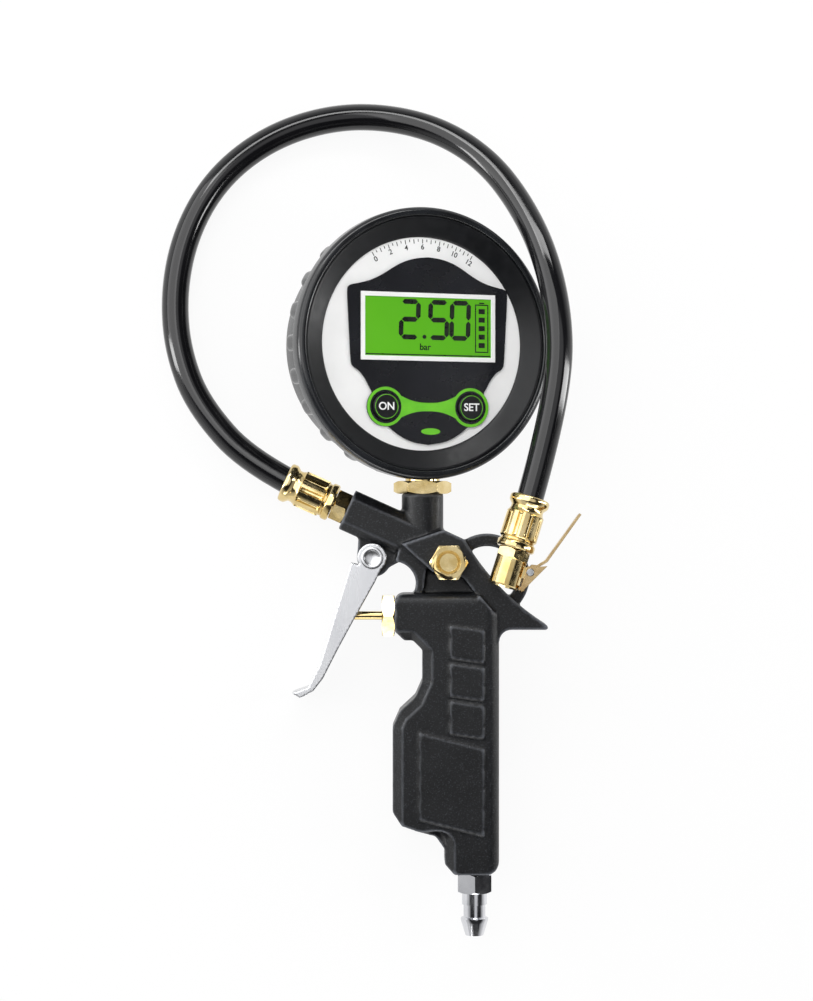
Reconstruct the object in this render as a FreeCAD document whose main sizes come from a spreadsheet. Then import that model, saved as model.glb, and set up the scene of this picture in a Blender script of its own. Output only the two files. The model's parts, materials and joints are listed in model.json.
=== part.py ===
import FreeCAD, Part
import math
import os
import Sketcher

# Tyre inflator with gauge, lying on its side as it would be put down on a bench.
# Everything is drawn in the gun's own frame: X towards the back of the hand, Y up the grip,
# Z out of the side that is seen. X = 0 is the neck's axis and Y = 0 the bottom of the grip.
# At the end one placement lays the whole inflator down, +Z up and +Y along the gun.

V = FreeCAD.Vector
doc = FreeCAD.newDocument("tyre_inflator")
sheet = doc.addObject("Spreadsheet::Sheet", "sizes")

SIZES = (
    # grip and head casting
    ("grip_thickness", 24.0, "grip and valve boss, side to side"),
    ("grip_rear", 27.3, "rear face of the grip, from the neck's axis"),
    ("grip_depth", 38.0, "lower grip, front to rear"),
    ("waist_depth", 27.4, "finger waist, front to rear"),
    ("stub_depth", 19.4, "stub round the inlet, front to rear"),
    ("stub_height", 12.1, "stub, bottom to the start of the slope"),
    ("slope_rise", 6.4, "rise of the slope under the lower grip"),
    ("bulge_top", 55.5, "top of the lower grip's front"),
    ("waist_bottom", 65.3, "where the finger waist starts"),
    ("boss_bottom", 83.2, "underside of the valve boss"),
    ("boss_height", 16.6, "valve boss, bottom to top"),
    ("boss_reach", 10.0, "valve boss, in front of the neck's axis"),
    ("grip_bevel", 3.4, "bevel along the front of the grip"),
    ("grip_round", 4.6, "rounding along the rear of the grip"),
    ("boss_round", 3.4, "rounding along the valve boss"),
    ("tang_reach", 44.6, "tip of the tang, from the neck's axis"),
    ("tang_height", 87.0, "flat under the tang"),
    ("tang_lip", 1.4, "blunt edge at the tip of the tang"),
    ("tang_round", 4.2, "hollow where the tang meets the grip"),
    ("tang_curve", 90.0, "radius of the tang's back"),
    ("beam_thickness", 20.0, "slanting beam, side to side"),
    ("web_thickness", 9.0, "recessed web under the beam"),
    ("strut_thickness", 15.0, "front strut between boss and arm"),
    ("bite_radius", 8.0, "finger bite in front of the strut"),
    ("neck_width", 15.0, "neck that carries the gauge, diameter"),
    ("neck_top", 135.5, "top face of the neck"),
    ("arm_angle", 24.3, "rise of the hose arm, degrees"),
    ("arm_length", 29.7, "hose arm, from the neck's axis to its face"),
    ("arm_width", 15.0, "hose arm, across"),
    ("arm_bevel", 3.0, "bevel along the hose arm"),
    ("cross_height", 117.6, "where the arm's axis meets the neck's axis"),
    ("pad_raise", 0.7, "height of the raised pads on the grip"),
    ("pad_width", 12.0, "small pads, front to rear"),
    ("pad_tall", 11.3, "small pads, height"),
    ("pad_pitch", 13.4, "small pads, one to the next"),
    ("pad_slant", 1.7, "slant of a small pad's top"),
    ("panel_width", 23.0, "large raised panel, front to rear"),
    ("panel_tall", 30.6, "large raised panel, height"),
    ("panel_slant", 5.8, "slant of the large panel's top"),
    ("pads_top", 88.5, "top of the upper small pad"),
    ("panel_top", 50.5, "top of the large panel"),
    ("pad_margin", 5.5, "pads and panel, from the rear face"),
    ("ring_radius", 15.3, "hanging ring, outer radius"),
    ("ring_bore", 10.8, "hanging ring, inner radius"),
    ("ring_thickness", 5.0, "hanging ring, side to side"),
    ("ring_across", 23.2, "hanging ring's centre, from the neck's axis"),
    ("ring_height", 105.9, "hanging ring's centre, from the bottom"),
    # trigger
    ("pivot_reach", 18.1, "trigger pivot, in front of the neck's axis"),
    ("pivot_height", 112.6, "trigger pivot, from the bottom"),
    ("lug_thickness", 10.0, "lug between the trigger's cheeks"),
    ("lug_radius", 5.4, "round of the lug at the pivot"),
    ("heel_radius", 7.0, "heel of the lug"),
    ("sheet_gauge", 1.2, "thickness of the trigger's sheet metal"),
    ("cheek_gap", 0.5, "gap between cheek and lug, each side"),
    ("ear_radius", 5.2, "round ear of the trigger"),
    ("web_set", 6.65, "trigger's front face, from the pivot"),
    ("web_lean", 17.1, "lean of the trigger's front face, degrees"),
    ("web_start", 3.9, "top of the trigger's front face, below the pivot"),
    ("web_run", 37.6, "straight part of the trigger's front face"),
    ("pin_radius", 2.0, "trigger pin"),
    ("pin_clearance", 0.05, "running clearance of a pin in its bore"),
    ("pin_head_radius", 4.0, "domed heads of the trigger pin"),
    ("pin_head_height", 1.9, "height of the domed heads"),
    # valve
    ("valve_height", 91.7, "axis of the valve, from the bottom"),
    ("gland_flats", 14.5, "gland nut, across flats"),
    ("gland_head", 4.6, "gland nut, length of the hexagon"),
    ("gland_thread", 5.6, "gland nut, radius of the thread"),
    ("gland_depth", 8.0, "gland nut, length of the thread"),
    ("stem_radius", 1.52, "valve stem"),
    ("stem_fit", 0.05, "running clearance of the stem in the nut"),
    ("stem_show", 15.0, "valve stem in front of the nut at rest"),
    ("stem_nose", 0.7, "chamfer on the stem's nose"),
    ("seal_width", 1.4, "ring seal round the stem"),
    ("seal_radius", 3.0, "outer radius of the ring seal"),
    ("chamber_radius", 5.0, "bore behind the gland nut"),
    ("seat_depth", 13.0, "front of the valve seat, from the boss face"),
    ("seat_width", 2.0, "valve seat, along the axis"),
    ("seat_bore", 2.4, "opening of the valve seat"),
    ("poppet_radius", 4.0, "valve poppet"),
    ("poppet_width", 2.6, "valve poppet, along the axis"),
    ("spring_radius", 3.6, "outer radius of the valve spring"),
    ("spring_wire", 0.8, "wire of the valve spring"),
    ("chamber_depth", 32.0, "end of the valve bore, from the boss face"),
    ("air_radius", 1.8, "drilled air passages"),
    # side plug
    ("plug_across", 9.2, "side plug, from the neck's axis"),
    ("plug_height", 111.1, "side plug, from the bottom"),
    ("plug_flats", 12.0, "side plug, across flats"),
    ("plug_head", 4.4, "side plug, thickness of the head"),
    ("plug_dish", 4.4, "radius of the dish in the head"),
    ("plug_dish_depth", 1.2, "depth of the dish"),
    ("plug_thread", 4.0, "side plug, radius of the thread"),
    ("plug_reach", 7.0, "side plug, length of the thread"),
    ("washer_gauge", 0.8, "sealing washers, thickness"),
    # inlet plug
    ("inlet_across", 18.7, "inlet plug, from the neck's axis"),
    ("inlet_flats", 12.0, "inlet plug, across flats"),
    ("inlet_hex", 7.0, "inlet plug, length of the hexagon"),
    ("inlet_collar", 4.5, "radius of the inlet plug's collar"),
    ("inlet_collar_length", 4.3, "length of the collar"),
    ("inlet_neck", 3.95, "radius of the inlet plug's neck"),
    ("inlet_neck_length", 4.4, "length of the neck"),
    ("inlet_ridge", 4.95, "radius of the coupling ridge"),
    ("inlet_ridge_land", 0.8, "flat on the coupling ridge"),
    ("inlet_tip", 3.3, "radius at the tip"),
    ("inlet_cone", 5.4, "length of the tip's cone"),
    ("inlet_bore", 2.2, "air bore of the inlet plug"),
    ("inlet_thread", 5.0, "radius of the inlet plug's thread"),
    ("inlet_reach", 10.0, "length of the inlet plug's thread"),
    # gauge stem
    ("hex_chamfer", 0.7, "chamfer on every hexagon"),
    ("stem_flats", 18.0, "gauge stem, across flats"),
    ("stem_hex", 4.6, "gauge stem, length of the hexagon"),
    ("stem_thread", 5.0, "gauge stem, radius of the threads"),
    ("stem_reach", 12.0, "gauge stem, length in the neck"),
    ("stem_collar", 6.2, "gauge stem, radius inside the case"),
    ("stem_inside", 14.0, "gauge stem, length above the hexagon"),
    ("stem_bore", 1.5, "air bore of the gauge stem"),
    # gauge
    ("gauge_yaw", 21.5, "turn of the gauge to the right, degrees"),
    ("gauge_gap", 0.4, "gap between the stem's hexagon and the boot's lip"),
    ("face_offset", 13.0, "front of the gauge, ahead of the neck's axis"),
    ("face_shift", 3.2, "neck's axis, to the right of the gauge's middle"),
    ("lip_radius", 48.4, "outer radius of the rubber boot's lip"),
    ("lip_depth", 7.5, "boot's lip, front to back"),
    ("lip_round", 1.8, "rounding of the lip"),
    ("boot_radius", 42.4, "boot behind the lip, between the ribs"),
    ("rib_height", 5.0, "height of a boot rib"),
    ("rib_width", 7.0, "width of a boot rib"),
    ("rib_length", 12.0, "length of a boot rib"),
    ("boot_depth", 33.0, "boot, front to back"),
    ("boot_floor", 1.8, "boot, thickness over the case's back"),
    ("boot_window", 31.0, "opening in the boot's back"),
    ("case_radius", 40.2, "outer radius of the case"),
    ("case_wall", 2.0, "wall of the case"),
    ("case_floor", 2.4, "floor of the case"),
    ("bezel_radius", 45.4, "outer radius of the bezel ring"),
    ("bezel_bore", 38.0, "inner radius of the bezel ring"),
    ("bezel_inner", 38.8, "inner edge of the bezel's slope"),
    ("bezel_set", 0.9, "bezel's front edge behind the lip's front"),
    ("bezel_fall", 3.2, "fall of the bezel's slope"),
    ("dial_set", 5.0, "dial face behind the lip's front"),
    ("dial_gauge", 1.0, "thickness of the dial plate"),
    ("dial_radius", 39.0, "radius of the dial plate"),
    ("panel_gauge", 0.6, "thickness of the black face panel"),
    ("frame_border", 1.6, "white display frame, border round the glass"),
    ("frame_gauge", 0.6, "white display frame, thickness"),
    ("glass_width", 48.4, "display glass, across"),
    ("glass_height", 21.0, "display glass, height"),
    ("glass_gauge", 2.2, "display glass, thickness"),
    ("display_lift", 6.0, "centre of the display above the dial's centre"),
    ("light_gauge", 1.6, "backlight panel, thickness"),
    ("button_radius", 4.9, "buttons"),
    ("button_gap", 0.3, "gap round a button"),
    ("button_proud", 1.1, "button above the face panel"),
    ("button_flange", 6.2, "radius of the button's flange"),
    ("button_travel", 0.8, "button travel"),
    ("flange_gauge", 1.0, "thickness of the button's flange"),
    ("switch_radius", 3.2, "tact switches under the buttons"),
    ("face_slide", 2.0, "face panel, display and buttons, to the right of the dial's middle"),
    ("shoulder_width", 60.0, "face panel, across the shoulders"),
    ("shoulder_level", 19.9, "face panel's shoulders above the dial's centre"),
    ("panel_crown", 47.0, "radius of the face panel's top edge"),
    ("panel_side_low", 7.2, "end of the face panel's sides, below the centre"),
    ("panel_waist", 43.2, "face panel, across its waist"),
    ("panel_waist_low", 17.4, "face panel's waist, below the centre"),
    ("panel_foot", 31.2, "face panel, across its foot"),
    ("panel_foot_low", 29.7, "face panel's foot, below the centre"),
    ("panel_foot_curve", 22.2, "radius of the face panel's foot"),
    ("button_land", 7.0, "radius of the panel round a button"),
    ("button_spread", 16.3, "buttons, from the dial's middle"),
    ("button_drop", 22.5, "buttons, below the dial's centre"),
    ("board_radius", 37.4, "circuit board, radius"),
    ("board_bottom", 28.0, "circuit board, bottom edge below the centre"),
    ("board_set", 12.4, "circuit board's front behind the lip's front"),
    ("board_gauge", 1.6, "circuit board, thickness"),
    ("sensor_radius", 4.6, "pressure sensor"),
    ("sensor_height", 5.5, "pressure sensor, along the stem"),
    ("cell_radius", 5.25, "battery cell"),
    ("cell_length", 44.5, "battery cell"),
    ("cell_pitch", 11.2, "battery cells, one to the other"),
    ("cell_set", 22.4, "axis of the cells behind the lip's front"),
    ("cell_lift", 4.0, "battery bay, centre above the dial's centre"),
    ("contact_gauge", 1.0, "battery contact springs, pressed length"),
    ("bay_play", 0.25, "room at each end of the cells and their contacts"),
    ("bay_side", 1.65, "room above and below the cells"),
    ("bay_wall", 1.3, "battery bay, wall"),
    ("bay_depth", 12.4, "battery bay, depth above the case floor"),
    ("door_lap", 1.5, "battery door, lap over each end of the bay"),
    ("door_tab", 6.0, "battery door, part below the bay that takes its screw"),
    ("door_gauge", 1.4, "battery door, thickness"),
    ("door_gap", 0.3, "gap round the battery door"),
    ("screw_radius", 1.4, "small screws"),
    ("screw_head", 2.4, "small screws, radius of the head"),
    ("post_radius", 3.0, "posts that carry the circuit board"),
    ("post_spread", 26.0, "posts, from the dial's middle"),
    ("post_level", 22.0, "posts, above and below the dial's centre"),
    # hose and its fittings
    ("hose_radius", 4.85, "hose, outer radius"),
    ("hose_bore", 2.6, "hose, inner radius"),
    ("nipple_flats", 11.0, "hose nipple, across flats"),
    ("nipple_hex", 5.2, "hose nipple, length of the hexagon"),
    ("nipple_thread", 4.6, "hose nipple, radius of the thread"),
    ("nipple_reach", 9.0, "hose nipple, length of the thread"),
    ("nipple_bore", 1.4, "hose nipple, air bore"),
    ("ferrule_length", 19.2, "crimped sleeve, end to end"),
    ("flange_radius", 6.95, "crimped sleeve, radius at the mouth"),
    ("sleeve_radius", 6.5, "crimped sleeve, radius in the middle"),
    ("waist_radius", 5.9, "crimped sleeve, radius of the waist"),
    ("slot_width", 2.6, "flutes of the crimped sleeve"),
    ("slot_depth", 0.7, "depth of the flutes"),
    # chuck
    ("mouth_across", 28.5, "chuck mouth, from the neck's axis"),
    ("mouth_height", 102.9, "chuck mouth, from the bottom"),
    ("mouth_lift", 16.0, "chuck mouth, above the gun's middle plane"),
    ("chuck_lean", 17.5, "lean of the chuck in the side view, degrees"),
    ("chuck_dip", 6.0, "dip of the chuck's hose end, degrees"),
    ("barrel_radius", 5.5, "chuck barrel"),
    ("barrel_length", 9.8, "chuck barrel, mouth to hexagon"),
    ("mouth_radius", 4.1, "bore that takes the tyre valve"),
    ("mouth_depth", 7.4, "depth of that bore, to the gasket"),
    ("gasket_gauge", 1.6, "groove of the rubber gasket in the chuck"),
    ("gasket_lip", 0.3, "depth of that groove"),
    ("gasket_set", 0.2, "gasket's face behind the end of the bore"),
    ("chuck_hex", 3.6, "chuck nipple, length of the hexagon"),
    ("lever_pin_out", 7.4, "chuck lever pin, from the chuck's axis"),
    ("lever_pin_up", 7.1, "chuck lever pin, from the mouth"),
    ("lever_pin_radius", 0.8, "chuck lever pin"),
    ("lever_gauge", 0.9, "sheet metal of the chuck lever"),
    ("lever_width", 7.6, "chuck lever, side to side"),
    ("lever_clearance", 0.3, "gap between lever cheeks and barrel ears"),
    ("thumb_rise", 25.0, "tip of the thumb strip, above the lever pin"),
    ("thumb_reach", 11.3, "tip of the thumb strip, out from the lever pin"),
    ("ear_gauge", 1.1, "ears of the chuck barrel"),
    # how it lies
    ("lay_roll", 12.7, "roll on to the gauge's rim, degrees"),
    ("lay_pitch", 4.3, "pitch on to the gauge's rim, degrees"),
)


class Size:
    """A length that carries its value and the formula that gives it."""

    def __init__(self, value, formula):
        self.value = value
        self.formula = formula

    def __add__(self, other):
        other = sized(other)
        return Size(self.value + other.value, "(%s + %s)" % (self.formula, other.formula))

    def __radd__(self, other):
        return sized(other) + self

    def __sub__(self, other):
        other = sized(other)
        return Size(self.value - other.value, "(%s - %s)" % (self.formula, other.formula))

    def __rsub__(self, other):
        return sized(other) - self

    def __mul__(self, other):
        other = sized(other)
        return Size(self.value * other.value, "(%s * %s)" % (self.formula, other.formula))

    def __rmul__(self, other):
        return sized(other) * self

    def __truediv__(self, other):
        other = sized(other)
        return Size(self.value / other.value, "(%s / %s)" % (self.formula, other.formula))

    def __neg__(self):
        return 0 - self


def sized(number):
    """A plain number as a Size; a Size stays as it is."""
    if isinstance(number, Size):
        return number
    return Size(float(number), "%.6f" % number)


def sine(angle):
    return Size(math.sin(math.radians(angle.value)), "sin(%s)" % angle.formula)


def cosine(angle):
    return Size(math.cos(math.radians(angle.value)), "cos(%s)" % angle.formula)


class Sizes:
    """The driving dimensions, read back from the sheet by name."""


s = Sizes()
for row, (alias, number, meaning) in enumerate(SIZES, start=1):
    sheet.set("A%d" % row, meaning)
    sheet.set("B%d" % row, str(number))
    sheet.setAlias("B%d" % row, alias)
doc.recompute()
for alias, number, meaning in SIZES:
    setattr(s, alias, Size(float(getattr(sheet, alias)), "sizes." + alias))

# half the width across corners of a hexagon, as a share of its width across flats
CORNER = 1 / math.sqrt(3)


def mm(length):
    return sized(length).value


# Drawing helpers

def settle(item):
    """Recompute, and stop at the feature that fails."""
    doc.recompute()
    if "Invalid" in item.State or "Error" in item.State:
        raise ValueError(item.Name + " failed")
    return item


def newBody(label, placement):
    body = doc.addObject("PartDesign::Body", label)
    body.Label = label
    body.Placement = placement
    subParts.append(body)
    return body


def newSketch(body, role, offset=None):
    """An empty sketch on one of the body's own planes, lifted by offset along its normal."""
    sketch = body.newObject("Sketcher::SketchObject", body.Label + "_sketch")
    plane = [item for item in body.Origin.OriginFeatures if item.Role == role][0]
    sketch.AttachmentSupport = [(plane, "")]
    sketch.MapMode = "FlatFace"
    if offset is not None:
        sketch.AttachmentOffset = FreeCAD.Placement(V(0, 0, mm(offset)), FreeCAD.Rotation())
        sketch.setExpression("AttachmentOffset.Base.z", sized(offset).formula)
    return sketch


def drive(sketch, kind, size, *where):
    """One driving constraint, bound to its formula."""
    size = sized(size)
    number = sketch.addConstraint(Sketcher.Constraint(kind, *where, size.value))
    name = "c%d" % number
    sketch.renameConstraint(number, name)
    sketch.setExpression("Constraints." + name, size.formula)


def arcMiddle(start, end, radius):
    """Middle point of the arc between two points; a negative radius bows the other way."""
    chord = end - start
    half = chord.Length / 2
    rise = abs(radius) - math.sqrt(max(radius * radius - half * half, 0.0))
    side = V(chord.y, -chord.x, 0).normalize()
    return (start + end) / 2 + side * math.copysign(rise, radius)


def outline(sketch, points, arcs=None):
    """A closed outline through points. arcs gives a radius for the sides that are arcs:
    a positive one bows to the right of the way the outline runs."""
    arcs = arcs or {}
    spots = [V(mm(x), mm(y), 0) for x, y in points]
    count = len(points)
    first = sketch.GeometryCount
    ends = []
    for i in range(count):
        start = spots[i]
        end = spots[(i + 1) % count]
        if i in arcs:
            radius = sized(arcs[i])
            middle = arcMiddle(start, end, radius.value)
            sketch.addGeometry(Part.Arc(start, middle, end), False)
            turns_left = (middle - start).cross(end - middle).z > 0
            ends.append((1, 2) if turns_left else (2, 1))
        else:
            sketch.addGeometry(Part.LineSegment(start, end), False)
            ends.append((1, 2))
    for i in range(count):
        after = (i + 1) % count
        sketch.addConstraint(
            Sketcher.Constraint("Coincident", first + i, ends[i][1], first + after, ends[after][0]))
    for i, (x, y) in enumerate(points):
        drive(sketch, "DistanceX", x, -1, 1, first + i, ends[i][0])
        drive(sketch, "DistanceY", y, -1, 1, first + i, ends[i][0])
        if i in arcs:
            radius = sized(arcs[i])
            if radius.value < 0:
                radius = -radius
            drive(sketch, "Radius", radius, first + i)


def disc(sketch, radius, x=0.0, y=0.0):
    """A circle of the given radius about x, y."""
    number = sketch.GeometryCount
    sketch.addGeometry(Part.Circle(V(mm(x), mm(y), 0), V(0, 0, 1), mm(radius)), False)
    drive(sketch, "Radius", radius, number)
    drive(sketch, "DistanceX", x, -1, 1, number, 3)
    drive(sketch, "DistanceY", y, -1, 1, number, 3)


def box(sketch, width, height, x=0.0, y=0.0):
    """A rectangle centred on x, y."""
    left, right = x - width / 2, x + width / 2
    low, high = y - height / 2, y + height / 2
    outline(sketch, [(left, low), (right, low), (right, high), (left, high)])


def hexagon(sketch, flats):
    """A hexagon with two corners on the sketch's X axis."""
    wide = flats * CORNER
    half = flats / 2
    outline(sketch, [(wide, 0), (wide / 2, half), (-wide / 2, half),
                     (-wide, 0), (-wide / 2, -half), (wide / 2, -half)])


def grow(body, sketch, length, both=False):
    """Pad the sketch by length, along its normal or half to each side."""
    pad = body.newObject("PartDesign::Pad", body.Label + "_pad")
    pad.Profile = sketch
    pad.SideType = "Symmetric" if both else "One side"
    pad.setExpression("Length", sized(length).formula)
    pad.Length = mm(length)
    return settle(pad)


def cut(body, sketch, length, both=False, forward=False):
    """Pocket the sketch by length; it has to take something away."""
    before = body.Shape.Volume
    pocket = body.newObject("PartDesign::Pocket", body.Label + "_pocket")
    pocket.Profile = sketch
    pocket.SideType = "Symmetric" if both else "One side"
    pocket.Reversed = forward
    pocket.Length = mm(length)
    pocket.setExpression("Length", sized(length).formula)
    settle(pocket)
    if body.Shape.Volume > before - 1e-4:
        raise ValueError("a pocket cuts nothing in " + body.Label)
    return pocket


def turn(body, points, arcs=None, remove=False):
    """Turn an outline of (radius, height) points round the body's Z axis."""
    before = body.Shape.Volume if remove else 0.0
    sketch = newSketch(body, "XZ_Plane")
    outline(sketch, points, arcs)
    kind = "PartDesign::Groove" if remove else "PartDesign::Revolution"
    item = body.newObject(kind, body.Label + "_turned")
    item.Profile = sketch
    item.ReferenceAxis = (sketch, ["V_Axis"])
    item.Angle = 360.0
    settle(item)
    if remove and body.Shape.Volume > before - 1e-4:
        raise ValueError("a groove cuts nothing in " + body.Label)
    return item


def tube(body, outer, inner, low, high):
    """A plain ring or sleeve about Z."""
    turn(body, [(inner, low), (outer, low), (outer, high), (inner, high)])


def addHexagon(body, flats, low, high):
    """A hexagon bar from low to high with its corners turned off at both ends."""
    sketch = newSketch(body, "XY_Plane", low)
    hexagon(sketch, flats)
    grow(body, sketch, high - low)
    wide = flats * CORNER
    tip = wide + 1
    for end, inward in ((low, s.hex_chamfer), (high, -s.hex_chamfer)):
        turn(body, [(flats / 2, end), (tip, end), (tip, end + inward * 2)], remove=True)


def bore(body, radius, low, high):
    """A round hole about Z from low to high."""
    sketch = newSketch(body, "XY_Plane", low)
    disc(sketch, radius)
    cut(body, sketch, high - low, forward=True)


def addRound(body, radius, length, placement, remove=False):
    """A round bar or hole placed in the body's frame, along the placement's Z."""
    before = body.Shape.Volume if remove else 0.0
    kind = "PartDesign::SubtractiveCylinder" if remove else "PartDesign::AdditiveCylinder"
    item = body.newObject(kind, body.Label + "_round")
    plane = [entry for entry in body.Origin.OriginFeatures if entry.Role == "XY_Plane"][0]
    item.AttachmentSupport = [(plane, "")]
    item.MapMode = "FlatFace"
    item.AttachmentOffset = placement
    item.Radius = mm(radius)
    item.Height = mm(length)
    item.setExpression("Radius", sized(radius).formula)
    item.setExpression("Height", sized(length).formula)
    settle(item)
    if remove and body.Shape.Volume > before - 1e-4:
        raise ValueError("a hole cuts nothing in " + body.Label)
    return item


def polar(body, feature, count):
    """Repeat a feature count times round the body's Z axis."""
    pattern = body.newObject("PartDesign::PolarPattern", body.Label + "_pattern")
    pattern.Originals = [feature]
    axis = [item for item in body.Origin.OriginFeatures if item.Role == "Z_Axis"][0]
    pattern.Axis = (axis, [""])
    pattern.Angle = 360.0
    pattern.Occurrences = count
    body.Tip = pattern
    return settle(pattern)


def edgesWhere(feature, test):
    """Names of the feature's edges whose two ends both pass the test."""
    names = []
    for number, edge in enumerate(feature.Shape.Edges, start=1):
        ends = [vertex.Point for vertex in edge.Vertexes]
        if len(ends) == 2 and all(test(point) for point in ends):
            names.append("Edge%d" % number)
    return names


def ease(body, kind, feature, names, size):
    """Fillet or chamfer the named edges."""
    item = body.newObject("PartDesign::" + kind, body.Label + "_" + kind.lower())
    item.Base = (feature, names)
    prop = "Radius" if kind == "Fillet" else "Size"
    item.setExpression(prop, sized(size).formula)
    setattr(item, prop, mm(size))
    return settle(item)


def frame(origin, z, x):
    """The placement whose Z and X axes point as given."""
    y = z.cross(x)
    return FreeCAD.Placement(origin, FreeCAD.Rotation(x, y, z, "ZXY"))


# Stations: the frames in which the sub-parts are drawn

def towards(angle):
    """Unit vector in the gun's XY plane, degrees from +X."""
    return V(math.cos(math.radians(angle)), math.sin(math.radians(angle)), 0)


SIDE = V(0, 0, 1)
subParts = []
gunFrame = FreeCAD.Placement()
armWay = towards(180 - mm(s.arm_angle))
armFrame = frame(V(0, mm(s.cross_height), 0) + armWay * mm(s.arm_length), armWay, SIDE)
neckFrame = frame(V(0, mm(s.neck_top), 0), V(0, 1, 0), V(1, 0, 0))
valveFrame = frame(V(-mm(s.boss_reach), mm(s.valve_height), 0), V(-1, 0, 0), SIDE)
inletFrame = frame(V(mm(s.inlet_across), 0, 0), V(0, -1, 0), SIDE)
plugFrame = frame(V(mm(s.plug_across), mm(s.plug_height), mm(s.beam_thickness) / 2), SIDE, V(1, 0, 0))
pivotFrame = FreeCAD.Placement(V(-mm(s.pivot_reach), mm(s.pivot_height), 0), FreeCAD.Rotation())

yaw = math.radians(mm(s.gauge_yaw))
gaugeWay = V(math.sin(yaw), 0, math.cos(yaw))
gaugeAcross = V(math.cos(yaw), 0, -math.sin(yaw))
gaugeHeight = mm(s.neck_top + s.stem_hex + s.gauge_gap + s.lip_radius)
gaugeFrame = frame(V(0, gaugeHeight, 0) + gaugeWay * mm(s.face_offset) - gaugeAcross * mm(s.face_shift),
                   gaugeWay, gaugeAcross)

dip = math.radians(mm(s.chuck_dip))
chuckAcross = towards(-mm(s.chuck_lean))
chuckWay = towards(90 - mm(s.chuck_lean)) * math.cos(dip) - SIDE * math.sin(dip)
chuckFrame = frame(V(mm(s.mouth_across), mm(s.mouth_height), mm(s.mouth_lift)), chuckWay, chuckAcross)


def turned(placement, degrees):
    """The same frame, turned about its own Z."""
    return placement.multiply(FreeCAD.Placement(V(0, 0, 0), FreeCAD.Rotation(V(0, 0, 1), degrees)))


def along(x, y, z, way):
    """A local placement at x, y, z whose Z points along way."""
    return FreeCAD.Placement(V(mm(x), mm(y), mm(z)), FreeCAD.Rotation(V(0, 0, 1), way))


# Gun casting

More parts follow.
